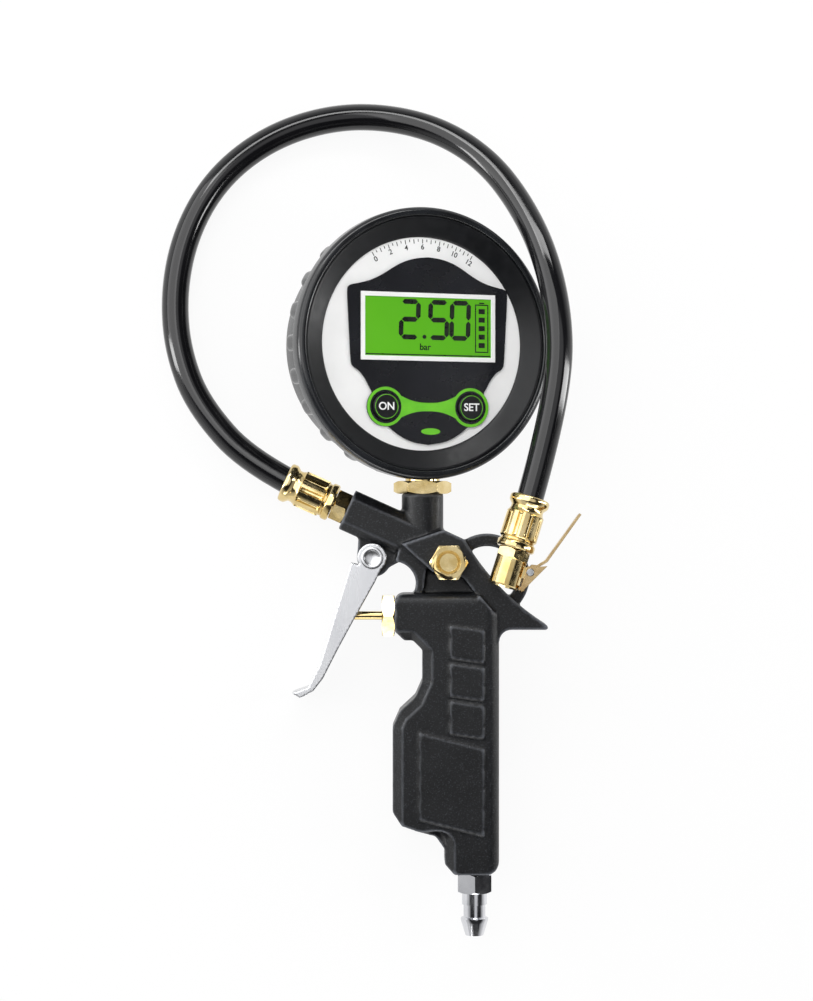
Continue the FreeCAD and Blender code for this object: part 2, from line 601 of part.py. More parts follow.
def gunBody():
    body = newBody("gun_body", gunFrame)
    rear = s.grip_rear
    front = rear - s.grip_depth
    waist = rear - s.waist_depth
    stub = rear - s.stub_depth
    bossTop = s.boss_bottom + s.boss_height
    bossFront = -s.boss_reach
    slopeTop = s.stub_height + s.slope_rise
    up = V(0, 1, 0)

    # grip with the valve boss, rounded behind and bevelled in front
    sketch = newSketch(body, "XY_Plane")
    outline(sketch, [
        (stub, 0), (rear, 0), (rear, s.tang_height + s.tang_round), (rear - 7.3, bossTop),
        (bossFront, bossTop), (bossFront, s.boss_bottom), (waist, s.boss_bottom), (waist, s.waist_bottom),
        (front, s.bulge_top), (front, slopeTop), (stub, s.stub_height)])
    step = grow(body, sketch, s.grip_thickness, both=True)

    def onSide(point):
        return abs(abs(point.z) - mm(s.grip_thickness) / 2) < 0.01

    names = edgesWhere(step, lambda p: onSide(p) and abs(p.x - mm(stub)) < 0.01)
    step = ease(body, "Chamfer", step, names, s.grip_bevel)
    names = edgesWhere(step, lambda p: onSide(p) and abs(p.x - mm(rear)) < 0.01)
    step = ease(body, "Fillet", step, names, s.grip_round)
    names = edgesWhere(step, lambda p: onSide(p) and abs(p.y - mm(bossTop)) < 0.01)
    step = ease(body, "Fillet", step, names, s.boss_round)

    names = edgesWhere(step, lambda p: onSide(p) and p.x < mm(waist) + 0.01
                       and mm(slopeTop) - 0.01 < p.y < mm(s.boss_bottom) + 0.01)
    step = ease(body, "Chamfer", step, names, s.grip_bevel)
    # slanting beam from the neck to the tip of the tang, and the hollow under the tang
    sketch = newSketch(body, "XY_Plane")
    outline(sketch, [
        (-s.neck_width / 2, s.cross_height),
        (s.plug_across - 5.5, s.plug_height - 3.5),
        (s.plug_across + 5.0, s.plug_height - 5.2),
        (rear - 5.5, bossTop - 3.5),
        (rear - 2.0, s.tang_height),
        (s.tang_reach, s.tang_height),
        (s.tang_reach, s.tang_height + s.tang_lip),
        (s.neck_width / 2 + 7.5, s.cross_height + 1.5),
        (s.neck_width / 2, s.cross_height + 5.0)], {6: -s.tang_curve})
    grow(body, sketch, s.beam_thickness, both=True)
    sketch = newSketch(body, "XY_Plane")
    outline(sketch, [
        (rear - 2, s.tang_height + 0.5), (rear - 2, s.tang_height - s.tang_round),
        (rear, s.tang_height - s.tang_round), (rear + s.tang_round, s.tang_height),
        (rear + s.tang_round, s.tang_height + 0.5)], {2: -s.tang_round})
    grow(body, sketch, s.beam_thickness, both=True)

    # front strut with the finger bite
    sketch = newSketch(body, "XY_Plane")
    outline(sketch, [
        (bossFront + 6.2, bossTop - 1), (waist, bossTop - 1), (waist + 1.6, bossTop + 9.8),
        (3.0, s.cross_height), (bossFront + 2.0, s.cross_height), (bossFront + 0.2, bossTop + 11.5)],
        {5: -s.bite_radius})
    grow(body, sketch, s.strut_thickness, both=True)

    # recessed web
    sketch = newSketch(body, "XY_Plane")
    outline(sketch, [
        (waist - 1, bossTop - 1), (rear - 4.5, bossTop - 4), (s.plug_across + 6, s.plug_height - 4),
        (s.plug_across - 4, s.plug_height), (waist - 0.5, bossTop + 11)])
    grow(body, sketch, s.web_thickness, both=True)

    # neck, and the hose arm: an eight-sided bar from its face down to the side plug
    addRound(body, s.neck_width / 2, s.neck_top - s.cross_height, along(0, s.cross_height, 0, up))
    endX = -s.arm_length * cosine(s.arm_angle)
    endY = s.cross_height + s.arm_length * sine(s.arm_angle)
    half = s.arm_width / 2
    flat = half - s.arm_bevel
    sketch = newSketch(body, "XY_Plane")
    sketch.AttachmentOffset = armFrame
    outline(sketch, [(half, -flat), (half, flat), (flat, half), (-flat, half),
                     (-half, flat), (-half, -flat), (-flat, -half), (flat, -half)])
    bar = grow(body, sketch, s.arm_length + s.plug_across + 1.5)
    bar.Reversed = True
    doc.recompute()

    # lug that carries the trigger, with its heel
    sketch = newSketch(body, "XY_Plane")
    disc(sketch, s.lug_radius, -s.pivot_reach, s.pivot_height)
    grow(body, sketch, s.lug_thickness, both=True)
    sketch = newSketch(body, "XY_Plane")
    outline(sketch, [
        (-s.pivot_reach, s.pivot_height), (-s.pivot_reach - s.heel_radius / 2, s.pivot_height - s.heel_radius * 0.866),
        (-s.pivot_reach + s.heel_radius * 0.866, s.pivot_height - s.heel_radius / 2),
        (bossFront + 2.5, s.pivot_height - 1.0), (bossFront + 2.5, s.pivot_height + 5),
        (-s.pivot_reach - s.lug_radius + 0.6, s.pivot_height + 8), (-s.pivot_reach - s.lug_radius, s.pivot_height)],
        {1: s.heel_radius})
    grow(body, sketch, s.lug_thickness, both=True)

    # hanging ring
    sketch = newSketch(body, "XY_Plane")
    disc(sketch, s.ring_radius, s.ring_across, s.ring_height)
    disc(sketch, s.ring_bore, s.ring_across, s.ring_height)
    grow(body, sketch, s.ring_thickness, both=True)

    # raised pads and panel, the same on both sides
    right = rear - s.pad_margin
    left = right - s.pad_width
    for number in range(3):
        top = s.pads_top - s.pad_pitch * number
        sketch = newSketch(body, "XY_Plane")
        outline(sketch, [(left, top - s.pad_tall), (right, top - s.pad_tall - s.pad_slant),
                         (right, top - s.pad_slant), (left, top)])
        grow(body, sketch, s.grip_thickness + s.pad_raise * 2, both=True)
    left = right - s.panel_width
    sketch = newSketch(body, "XY_Plane")
    outline(sketch, [(left, s.panel_top - s.panel_tall), (right, s.panel_top - s.panel_tall - s.panel_slant),
                     (right, s.panel_top - s.panel_slant), (left, s.panel_top)])
    grow(body, sketch, s.grip_thickness + s.pad_raise * 2, both=True)

    # bores: valve, inlet, neck, arm, side plug, trigger pin, and the air passages between them
    back = V(1, 0, 0)
    down = V(0, -1, 0)
    inward = V(-armWay.x, -armWay.y, 0)
    addRound(body, s.gland_thread, s.gland_depth, along(bossFront, s.valve_height, 0, back), remove=True)
    addRound(body, s.chamber_radius, s.chamber_depth, along(bossFront, s.valve_height, 0, back), remove=True)
    addRound(body, s.inlet_thread, s.inlet_reach, along(s.inlet_across, 0, 0, up), remove=True)
    addRound(body, s.air_radius, s.valve_height, along(s.inlet_across, 0, 0, up), remove=True)
    addRound(body, s.stem_thread, s.stem_reach, along(0, s.neck_top, 0, down), remove=True)
    addRound(body, s.air_radius, s.neck_top - s.valve_height, along(0, s.neck_top, 0, down), remove=True)
    addRound(body, s.nipple_thread, s.nipple_reach, along(endX, endY, 0, inward), remove=True)
    addRound(body, s.air_radius, s.arm_length + s.plug_across, along(endX, endY, 0, inward), remove=True)
    addRound(body, s.plug_thread, s.beam_thickness / 2,
             along(s.plug_across, s.plug_height, 0, SIDE), remove=True)
    addRound(body, s.pin_radius + s.pin_clearance, s.lug_thickness * 2,
             along(-s.pivot_reach, s.pivot_height, -s.lug_thickness, SIDE), remove=True)


# Trigger

def triggerLever():
    body = newBody("trigger_lever", pivotFrame)
    inside = s.lug_thickness / 2 + s.cheek_gap
    outside = inside + s.sheet_gauge
    # the front face is a line that leans by web_lean and passes web_set from the pivot
    lean = s.web_lean
    outX, outY = -cosine(lean), sine(lean)
    runX, runY = -sine(lean), -cosine(lean)
    footX, footY = outX * s.web_set, outY * s.web_set

    def onFace(run, depth):
        """A point of the front sheet: run below the foot, depth behind the face."""
        return (footX + runX * run - outX * depth, footY + runY * run - outY * depth)

    end = s.web_start + s.web_run
    sketch = newSketch(body, "XY_Plane")
    outline(sketch, [
        onFace(s.web_start, 0), onFace(end, 0), onFace(end + 9.6, -1.6), onFace(end + 13.2, -6.6),
        onFace(end + 14.0, -3.0), onFace(end + 10.2, 0.6), onFace(end + 5.0, 2.6),
        onFace(end - 6.5, 4.6), onFace(end - 17.5, 6.8), onFace(s.web_start + 4.2, 10.2), (s.ear_radius, 0),
        (0, 0), onFace(s.web_start, 3.6)])
    grow(body, sketch, outside * 2, both=True)
    sketch = newSketch(body, "XY_Plane")
    disc(sketch, s.ear_radius)
    grow(body, sketch, outside * 2, both=True)
    sketch = newSketch(body, "XY_Plane")
    outline(sketch, [
        onFace(-8, s.sheet_gauge), onFace(end, s.sheet_gauge), onFace(end + 5.4, s.sheet_gauge),
        onFace(end + 6.5, 8), onFace(10, 22), onFace(-8, 22)])
    cut(body, sketch, inside * 2, both=True)
    addRound(body, s.pin_radius, outside * 2 + 2, along(0, 0, -outside - 1, SIDE), remove=True)


def triggerPin():
    body = newBody("trigger_pin", pivotFrame)
    half = s.lug_thickness / 2 + s.cheek_gap + s.sheet_gauge
    crown = half + s.pin_head_height
    # a head is a low dome: its radius follows from its width and height
    dome = (s.pin_head_radius * s.pin_head_radius + s.pin_head_height * s.pin_head_height)
    dome = dome / (s.pin_head_height * 2)
    turn(body, [(0, -crown), (s.pin_head_radius, -half), (s.pin_radius, -half), (s.pin_radius, half),
                (s.pin_head_radius, half), (0, crown)], {0: dome, 4: dome})


# Valve in the boss. Heights are measured out of the boss face.

def valve():
    stemHole = s.stem_radius + s.stem_fit
    body = newBody("valve_gland_nut", valveFrame)
    tube(body, s.gland_thread, stemHole, -s.gland_depth, s.gland_head / 2)
    addHexagon(body, s.gland_flats, sized(0), s.gland_head)
    bore(body, stemHole, sized(0), s.gland_head)
    turn(body, [(0, -s.gland_depth), (s.seal_radius, -s.gland_depth),
                (s.seal_radius, s.seal_width - s.gland_depth), (0, s.seal_width - s.gland_depth)], remove=True)

    tube(newBody("stem_seal", valveFrame), s.seal_radius, stemHole,
         -s.gland_depth, s.seal_width - s.gland_depth)

    seatBack = -s.seat_depth - s.seat_width
    tube(newBody("valve_seat", valveFrame), s.chamber_radius, s.seat_bore, seatBack, -s.seat_depth)

    nose = s.gland_head + s.stem_show
    poppetFront = seatBack - s.stem_fit
    poppetBack = poppetFront - s.poppet_width
    spigot = s.stem_radius * 0.6
    turn(newBody("valve_stem", valveFrame), [
        (0, poppetBack - 1.0), (spigot, poppetBack - 1.0), (spigot, poppetFront), (s.stem_radius, poppetFront),
        (s.stem_radius, nose - s.stem_nose), (s.stem_radius - s.stem_nose, nose), (0, nose)])
    tube(newBody("valve_poppet", valveFrame), s.poppet_radius, spigot, poppetBack, poppetFront)
    tube(newBody("valve_spring", valveFrame), s.spring_radius, s.spring_radius - s.spring_wire,
         -s.chamber_depth, poppetBack)


def sidePlug():
    body = newBody("side_plug", plugFrame)
    top = s.washer_gauge + s.plug_head
    turn(body, [(0, -s.plug_reach), (s.plug_thread, -s.plug_reach), (s.plug_thread, s.washer_gauge * 2),
                (0, s.washer_gauge * 2)])
    addHexagon(body, s.plug_flats, s.washer_gauge, top)
    turn(body, [(0, top), (s.plug_dish, top), (s.plug_dish - s.plug_dish_depth, top - s.plug_dish_depth),
                (0, top - s.plug_dish_depth)], remove=True)
    tube(newBody("side_plug_washer", plugFrame), s.plug_flats / 2, s.plug_thread, sized(0), s.washer_gauge)


def inletPlug():
    body = newBody("inlet_plug", inletFrame)
    hexEnd = s.washer_gauge + s.inlet_hex
    collarEnd = hexEnd + s.inlet_collar_length
    neckEnd = collarEnd + s.inlet_neck_length
    ridge = neckEnd + 0.5
    tip = ridge + s.inlet_ridge_land + s.inlet_cone
    turn(body, [
        (s.inlet_bore, -s.inlet_reach), (s.inlet_thread, -s.inlet_reach), (s.inlet_thread, s.washer_gauge),
        (s.inlet_collar, s.washer_gauge), (s.inlet_collar, collarEnd), (s.inlet_neck, collarEnd),
        (s.inlet_neck, neckEnd), (s.inlet_ridge, ridge), (s.inlet_ridge, ridge + s.inlet_ridge_land),
        (s.inlet_tip, tip), (s.inlet_bore, tip)])
    addHexagon(body, s.inlet_flats, s.washer_gauge, hexEnd)
    bore(body, s.inlet_bore, sized(0), hexEnd)
    tube(newBody("inlet_washer", inletFrame), s.inlet_flats / 2, s.inlet_thread, sized(0), s.washer_gauge)


# Gauge. Heights are measured out of the front of the boot's lip, so they are negative.

def gaugeStem():
    body = newBody("gauge_stem", neckFrame)
    top = s.stem_hex + s.stem_inside
    turn(body, [(s.stem_bore, -s.stem_reach), (s.stem_thread, -s.stem_reach), (s.stem_thread, s.stem_hex / 2),
                (s.stem_collar, s.stem_hex / 2), (s.stem_collar, top), (s.stem_bore, top)])
    addHexagon(body, s.stem_flats, sized(0), s.stem_hex)
    bore(body, s.stem_bore, sized(0), s.stem_hex)
    turn(newBody("pressure_sensor", neckFrame), [(0, top), (s.sensor_radius, top),
         (s.sensor_radius, top + s.sensor_height), (0, top + s.sensor_height)])


def gaugeShell():
    caseBack = s.boot_floor - s.boot_depth
    caseRim = -s.dial_set - s.dial_gauge
    floor = caseBack + s.case_floor
    lipBack = -s.lip_depth
    downward = V(0, -1, 0)
    holeTop = 8.0 - s.case_radius
    holeLength = s.lip_radius + holeTop + 2
    stemHole = along(s.face_shift, holeTop, -s.face_offset, downward)

    body = newBody("gauge_boot", gaugeFrame)
    turn(body, [
        (s.bezel_radius - 0.4, -0.4), (s.bezel_radius + 0.4, 0), (s.lip_radius - s.lip_round, 0),
        (s.lip_radius, -s.lip_round), (s.lip_radius, lipBack + 1.6), (s.lip_radius - 1.6, lipBack),
        (s.boot_radius, lipBack), (s.boot_radius, 2 - s.boot_depth), (s.boot_radius - 2, -s.boot_depth),
        (s.boot_window, -s.boot_depth), (s.boot_window, caseBack), (s.case_radius, caseBack),
        (s.case_radius, caseRim), (s.bezel_radius, caseRim), (s.bezel_radius, -s.bezel_set),
        (s.bezel_radius - 0.4, -s.bezel_set)], {2: s.lip_round})
    sketch = newSketch(body, "XY_Plane", lipBack - s.rib_length)
    root = s.boot_radius - 0.6
    crest = s.boot_radius + s.rib_height
    outline(sketch, [
        (root, -s.rib_width / 2), (crest - 1.6, -s.rib_width / 2), (crest, -s.rib_width / 2 + 1.6),
        (crest, s.rib_width / 2 - 1.6), (crest - 1.6, s.rib_width / 2), (root, s.rib_width / 2)],
        {1: 1.6, 3: 1.6})
    rib = grow(body, sketch, s.rib_length)
    polar(body, rib, 24)
    addRound(body, s.stem_collar, holeLength, stemHole, remove=True)

    body = newBody("gauge_case", gaugeFrame)
    inner = s.case_radius - s.case_wall
    turn(body, [(0, caseBack), (s.case_radius, caseBack), (s.case_radius, caseRim), (inner, caseRim),
                (inner, floor), (0, floor)])
    bayWidth = s.cell_length + s.contact_gauge * 2 + s.bay_play * 2
    bayHeight = s.cell_pitch + s.cell_radius * 2 + s.bay_side * 2
    sketch = newSketch(body, "XY_Plane", floor)
    box(sketch, bayWidth + s.bay_wall * 2, bayHeight + s.bay_wall * 2, y=s.cell_lift)
    box(sketch, bayWidth, bayHeight, y=s.cell_lift)
    grow(body, sketch, s.bay_depth)
    boardBack = -s.board_set - s.board_gauge
    doorFoot = s.cell_lift - bayHeight / 2 - s.door_tab
    screwY = doorFoot + s.door_tab / 2
    posts = [(x, y) for x in (-s.post_spread, s.post_spread) for y in (-s.post_level, s.post_level)]
    for x, y in posts:
        addRound(body, s.post_radius, boardBack - floor, along(x, y, floor, SIDE))
        addRound(body, s.screw_radius, 6, along(x, y, boardBack, -SIDE), remove=True)
    addRound(body, s.post_radius, 8, along(0, screwY, floor, SIDE))
    sketch = newSketch(body, "XY_Plane", caseBack)
    box(sketch, bayWidth, bayHeight, y=s.cell_lift)
    cut(body, sketch, s.case_floor, forward=True)
    doorWide = bayWidth + s.door_lap * 2
    doorTall = bayHeight + s.door_tab + s.door_lap
    doorMiddle = s.cell_lift + (s.door_lap - s.door_tab) / 2
    sketch = newSketch(body, "XY_Plane", caseBack)
    box(sketch, doorWide + s.door_gap * 2, doorTall + s.door_gap * 2, y=doorMiddle)
    cut(body, sketch, s.door_gauge, forward=True)
    addRound(body, s.screw_radius, 8, along(0, screwY, caseBack, SIDE), remove=True)
    addRound(body, s.stem_collar, holeLength, stemHole, remove=True)

    body = newBody("battery_door", gaugeFrame)
    sketch = newSketch(body, "XY_Plane", caseBack)
    box(sketch, doorWide, doorTall, y=doorMiddle)
    grow(body, sketch, s.door_gauge)
    addRound(body, s.screw_radius, 3, along(0, screwY, caseBack, SIDE), remove=True)
    screw("door_screw", gaugeFrame, [along(0, screwY, caseBack, -SIDE)], 6)
    screw("board_screws", gaugeFrame, [along(x, y, -s.board_set, SIDE) for x, y in posts], 6)

    turn(newBody("bezel_ring", gaugeFrame), [
        (s.bezel_bore, -s.dial_set), (s.dial_radius, -s.dial_set), (s.dial_radius, caseRim),
        (s.bezel_radius, caseRim), (s.bezel_radius, -s.bezel_set), (s.bezel_radius - 0.8, -s.bezel_set),
        (s.bezel_inner, -s.bezel_set - s.bezel_fall), (s.bezel_bore, -s.bezel_set - s.bezel_fall - 0.6)])


def screw(label, placement, spots, length):
    """Pan-head screws as one node: each has a shank below its spot and a head above it."""
    solids = []
    for number, spot in enumerate(spots):
        shank = doc.addObject("Part::Cylinder", "%s_shank_%d" % (label, number))
        shank.setExpression("Radius", s.screw_radius.formula)
        shank.Height = length
        shank.Placement = spot.multiply(FreeCAD.Placement(V(0, 0, -length), FreeCAD.Rotation()))
        head = doc.addObject("Part::Cone", "%s_head_%d" % (label, number))
        head.setExpression("Radius1", s.screw_head.formula)
        head.setExpression("Radius2", (s.screw_head * 0.75).formula)
        head.Height = 1.2
        head.Placement = spot
        whole = doc.addObject("Part::Fuse", "%s_%d" % (label, number))
        whole.Base = shank
        whole.Tool = head
        solids.append(whole)
    group(label, placement, solids)


def group(label, placement, solids):
    """Separate solids that share one node."""
    item = doc.addObject("Part::Compound", label)
    item.Label = label
    item.Links = solids
    item.Placement = placement
    subParts.append(item)


def gaugeFace():
    dialBack = -s.dial_set - s.dial_gauge
    dialFace = -s.dial_set
    panelFace = dialFace + s.panel_gauge
    holeGap = s.button_gap
    slide = s.face_slide
    buttons = (("button_on", slide - s.button_spread), ("button_set", slide + s.button_spread))

    def openings(body, low, depth):
        sketch = newSketch(body, "XY_Plane", low)
        box(sketch, s.glass_width, s.glass_height, x=slide, y=s.display_lift)
        for name, x in buttons:
            disc(sketch, s.button_radius + holeGap, x, -s.button_drop)
        cut(body, sketch, depth, forward=True)

    body = newBody("dial_plate", gaugeFrame)
    sketch = newSketch(body, "XY_Plane", dialBack)
    disc(sketch, s.dial_radius)
    grow(body, sketch, s.dial_gauge)
    openings(body, dialBack, s.dial_gauge)

    body = newBody("face_panel", gaugeFrame)
    sketch = newSketch(body, "XY_Plane", dialFace)
    half = s.shoulder_width / 2
    waist = s.panel_waist / 2
    foot = s.panel_foot / 2
    outline(sketch, [
        (slide + half, s.shoulder_level), (slide - half, s.shoulder_level),
        (slide - half + 0.8, -s.panel_side_low), (slide - waist, -s.panel_waist_low),
        (slide - foot, -s.panel_foot_low), (slide + foot, -s.panel_foot_low),
        (slide + waist, -s.panel_waist_low), (slide + half - 0.8, -s.panel_side_low)],
        {0: s.panel_crown, 4: s.panel_foot_curve})
    grow(body, sketch, s.panel_gauge)
    for name, x in buttons:
        sketch = newSketch(body, "XY_Plane", dialFace)
        disc(sketch, s.button_land, x, -s.button_drop)
        grow(body, sketch, s.panel_gauge)
    openings(body, dialFace, s.panel_gauge)

    body = newBody("display_frame", gaugeFrame)
    sketch = newSketch(body, "XY_Plane", panelFace)
    border = s.frame_border * 2
    box(sketch, s.glass_width + border, s.glass_height + border, x=slide, y=s.display_lift)
    box(sketch, s.glass_width, s.glass_height, x=slide, y=s.display_lift)
    grow(body, sketch, s.frame_gauge)

    glassBack = panelFace + 0.2 - s.glass_gauge
    body = newBody("display_glass", gaugeFrame)
    sketch = newSketch(body, "XY_Plane", glassBack)
    box(sketch, s.glass_width, s.glass_height, x=slide, y=s.display_lift)
    grow(body, sketch, s.glass_gauge)
    body = newBody("backlight", gaugeFrame)
    sketch = newSketch(body, "XY_Plane", glassBack - s.light_gauge)
    box(sketch, s.glass_width + 2, s.glass_height + 2, x=slide, y=s.display_lift)
    grow(body, sketch, s.light_gauge)

    flangeTop = dialBack - 0.05
    flangeLow = flangeTop - s.flange_gauge
    for name, x in buttons:
        top = panelFace + s.button_proud
        place = gaugeFrame.multiply(FreeCAD.Placement(V(mm(x), -mm(s.button_drop), 0), FreeCAD.Rotation()))
        turn(newBody(name, place), [
            (0, flangeLow), (s.button_flange, flangeLow), (s.button_flange, flangeTop),
            (s.button_radius, flangeTop), (s.button_radius, top - 0.5), (s.button_radius - 0.5, top), (0, top)])

    switches = []
    for name, x in buttons:
        item = doc.addObject("Part::Cylinder", name + "_switch")
        item.setExpression("Radius", s.switch_radius.formula)
        item.setExpression("Height", (flangeLow - s.button_travel - 0.1 + s.board_set).formula)
        item.Placement = along(x, -s.button_drop, -s.board_set, SIDE)
        switches.append(item)
    group("button_switches", gaugeFrame, switches)

    body = newBody("circuit_board", gaugeFrame)
    low = -s.board_set - s.board_gauge
    sketch = newSketch(body, "XY_Plane", low)
    disc(sketch, s.board_radius)
    grow(body, sketch, s.board_gauge)
    sketch = newSketch(body, "XY_Plane", low)
    box(sketch, s.board_radius * 2, s.board_radius, y=-s.board_bottom - s.board_radius / 2)
    cut(body, sketch, s.board_gauge, forward=True)
    for x in (-s.post_spread, s.post_spread):
        for y in (-s.post_level, s.post_level):
            addRound(body, s.screw_radius, s.board_gauge, along(x, y, low, SIDE), remove=True)

    cells = []
    springs = []
    for y in (s.cell_lift - s.cell_pitch / 2, s.cell_lift + s.cell_pitch / 2):
        cell = doc.addObject("Part::Cylinder", "cell")
        cell.setExpression("Radius", s.cell_radius.formula)
        cell.setExpression("Height", s.cell_length.formula)
        cell.Placement = along(-s.cell_length / 2, y, -s.cell_set, V(1, 0, 0))
        cells.append(cell)
        for x, way in ((-s.cell_length / 2, V(-1, 0, 0)), (s.cell_length / 2, V(1, 0, 0))):
            spring = doc.addObject("Part::Cylinder", "contact")
            spring.setExpression("Radius", (s.cell_radius * 0.6).formula)
            spring.setExpression("Height", s.contact_gauge.formula)
            spring.Placement = along(x, y, -s.cell_set, way)
            springs.append(spring)
    group("battery_cells", gaugeFrame, cells)
    group("battery_contacts", gaugeFrame, springs)


# Hose fittings. The nipple's tail sits in the hose and the sleeve is crimped over both.

def fitting(nippleLabel, sleeveLabel, placement, hexStart, hexLength, threadRadius, threadReach):
    hexEnd = hexStart + hexLength
    tailEnd = hexEnd + s.ferrule_length * 0.75
    body = newBody(nippleLabel, placement)
    turn(body, [(s.nipple_bore, hexStart - threadReach), (threadRadius, hexStart - threadReach),
                (threadRadius, hexStart + hexLength / 2), (s.hose_bore, hexStart + hexLength / 2),
                (s.hose_bore, tailEnd), (s.nipple_bore, tailEnd)])
    addHexagon(body, s.nipple_flats, hexStart, hexEnd)
    bore(body, s.nipple_bore, hexStart, hexEnd)

    low = hexEnd + 0.2
    high = low + s.ferrule_length
    body = newBody(sleeveLabel, placement)
    turn(body, [
        (s.hose_bore, low), (s.sleeve_radius - 0.5, low), (s.sleeve_radius + 0.1, low + 0.6),
        (s.sleeve_radius + 0.1, low + 2.4), (s.sleeve_radius - 0.5, low + 2.9),
        (s.sleeve_radius - 0.5, low + 3.4), (s.sleeve_radius, low + 3.9), (s.sleeve_radius, high - 5.8),
        (s.waist_radius, high - 4.4), (s.waist_radius, high - 3.8), (s.flange_radius, high - 2.4),
        (s.flange_radius, high - 0.5), (s.flange_radius - 0.5, high), (s.hose_radius, high),
        (s.hose_radius, low + 1.2), (s.hose_bore, low + 1.2)])
    flute = newSketch(body, "XY_Plane", low + 4.6)
    box(flute, 4.0, s.slot_width, x=s.sleeve_radius - s.slot_depth + 2.0)
    slot = cut(body, flute, s.ferrule_length - 11.2, forward=True)
    polar(body, slot, 8)
    return low + 1.2


def chuck():
    body = newBody("chuck_barrel", chuckFrame)
    gasketTop = s.mouth_depth + s.gasket_gauge
    threadRadius = s.mouth_radius - 1.1
    grooveRadius = s.mouth_radius + s.gasket_lip
    gasketFace = s.mouth_depth + s.gasket_set
    turn(body, [(s.mouth_radius, 0.6), (s.mouth_radius + 0.5, 0), (s.barrel_radius - 0.4, 0),
                (s.barrel_radius, 0.4), (s.barrel_radius, s.barrel_length), (threadRadius, s.barrel_length),
                (threadRadius, gasketTop), (grooveRadius, gasketTop), (grooveRadius, s.mouth_depth),
                (s.mouth_radius, s.mouth_depth)])
    # two ears for the lever's pin, and the slot that the claw comes through
    outside = s.lever_width / 2 - s.lever_gauge - s.lever_clearance
    inside = outside - s.ear_gauge
    sketch = newSketch(body, "XZ_Plane")
    outline(sketch, [(s.barrel_radius - 1.0, s.lever_pin_up - 3.0), (s.lever_pin_out + 1.2, s.lever_pin_up - 1.7),
                     (s.lever_pin_out + 1.7, s.lever_pin_up), (s.lever_pin_out + 1.1, s.lever_pin_up + 1.4),
                     (s.barrel_radius - 1.0, s.lever_pin_up + 1.4)])
    grow(body, sketch, outside * 2, both=True)
    sketch = newSketch(body, "XZ_Plane")
    box(sketch, 5.0, 8.0, x=s.barrel_radius + 2.5, y=s.lever_pin_up)
    cut(body, sketch, inside * 2, both=True)
    sketch = newSketch(body, "XZ_Plane")
    box(sketch, 3.0, 6.6, x=s.barrel_radius - 0.5, y=sized(0))
    cut(body, sketch, inside * 2, both=True)
    acrossFrame = FreeCAD.Placement(V(mm(s.lever_pin_out), -mm(s.lever_width), mm(s.lever_pin_up)),
                                    FreeCAD.Rotation(V(0, 0, 1), V(0, 1, 0)))
    addRound(body, s.lever_pin_radius, s.lever_width * 2, acrossFrame, remove=True)

    tube(newBody("chuck_gasket", chuckFrame), grooveRadius, s.nipple_bore, gasketFace, gasketTop)
    turn(newBody("chuck_depressor", chuckFrame), [
        (0, gasketFace), (0.7, gasketFace), (0.7, gasketTop + 0.6),
        (s.nipple_bore, gasketTop + 0.6), (s.nipple_bore, gasketTop + 1.6), (0, gasketTop + 1.6)])

    # lever: two cheeks, a thumb strip, a bridge at the mouth and the claw in its middle
    body = newBody("chuck_lever", chuckFrame)
    pinX, pinZ = s.lever_pin_out, s.lever_pin_up
    cheeks = newSketch(body, "XZ_Plane")
    outline(cheeks, [(pinX - 0.8, pinZ - 7.5), (pinX + 5.2, pinZ + 4.0), (pinX + 1.8, pinZ + 2.6),
                     (pinX - 1.5, pinZ + 1.8), (pinX - 1.5, pinZ - 7.0)])
    grow(body, cheeks, s.lever_width, both=True)
    strip = newSketch(body, "XZ_Plane")
    gauge = s.lever_gauge
    outline(strip, [(pinX - 0.4, pinZ + 1.9), (pinX + 1.8, pinZ + 2.2), (pinX + 4.8, pinZ + 5.4),
                    (pinX + s.thumb_reach, pinZ + s.thumb_rise),
                    (pinX + s.thumb_reach - gauge, pinZ + s.thumb_rise + 0.3),
                    (pinX + 4.8 - gauge, pinZ + 6.0), (pinX + 1.5, pinZ + 2.3 + gauge),
                    (pinX - 0.4, pinZ + 1.9 + gauge)])
    grow(body, strip, s.lever_width, both=True)
    hollow = newSketch(body, "XZ_Plane")
    outline(hollow, [(pinX - 5, pinZ - 5.4), (pinX + 6, pinZ - 5.4), (pinX + 6, pinZ + 6.2),
                     (pinX + 1.7, pinZ + 1.9), (pinX - 0.6, pinZ + 1.85), (pinX - 0.6, pinZ + 2.3),
                     (pinX - 5, pinZ + 2.3)])
    cut(body, hollow, (s.lever_width / 2 - gauge) * 2, both=True)
    claw = newSketch(body, "XZ_Plane")
    box(claw, pinX - s.mouth_radius - 0.2, 1.2, x=(pinX + s.mouth_radius + 0.2) / 2, y=pinZ - 6.2)
    grow(body, claw, (inside - 0.4) * 2, both=True)
    hole = FreeCAD.Placement(V(mm(pinX), -mm(s.lever_width), mm(pinZ)),
                             FreeCAD.Rotation(V(0, 0, 1), V(0, 1, 0)))
    addRound(body, s.lever_pin_radius + s.pin_clearance, s.lever_width * 2, hole, remove=True)

    pinFrame = chuckFrame.multiply(FreeCAD.Placement(V(mm(pinX), 0, mm(pinZ)),
                                                     FreeCAD.Rotation(V(0, 0, 1), V(0, 1, 0))))
    half = s.lever_width / 2
    turn(newBody("chuck_lever_pin", pinFrame), [
        (0, -half - 0.7), (1.2, -half - 0.7), (1.5, -half - 0.1), (s.lever_pin_radius, -half - 0.1),
        (s.lever_pin_radius, half + 0.1), (1.5, half + 0.1), (1.2, half + 0.7), (0, half + 0.7)])
    tube(newBody("chuck_lever_spring", pinFrame), s.lever_pin_radius + 0.7, s.lever_pin_radius + 0.05,
         0.2 - inside, inside - 0.2)


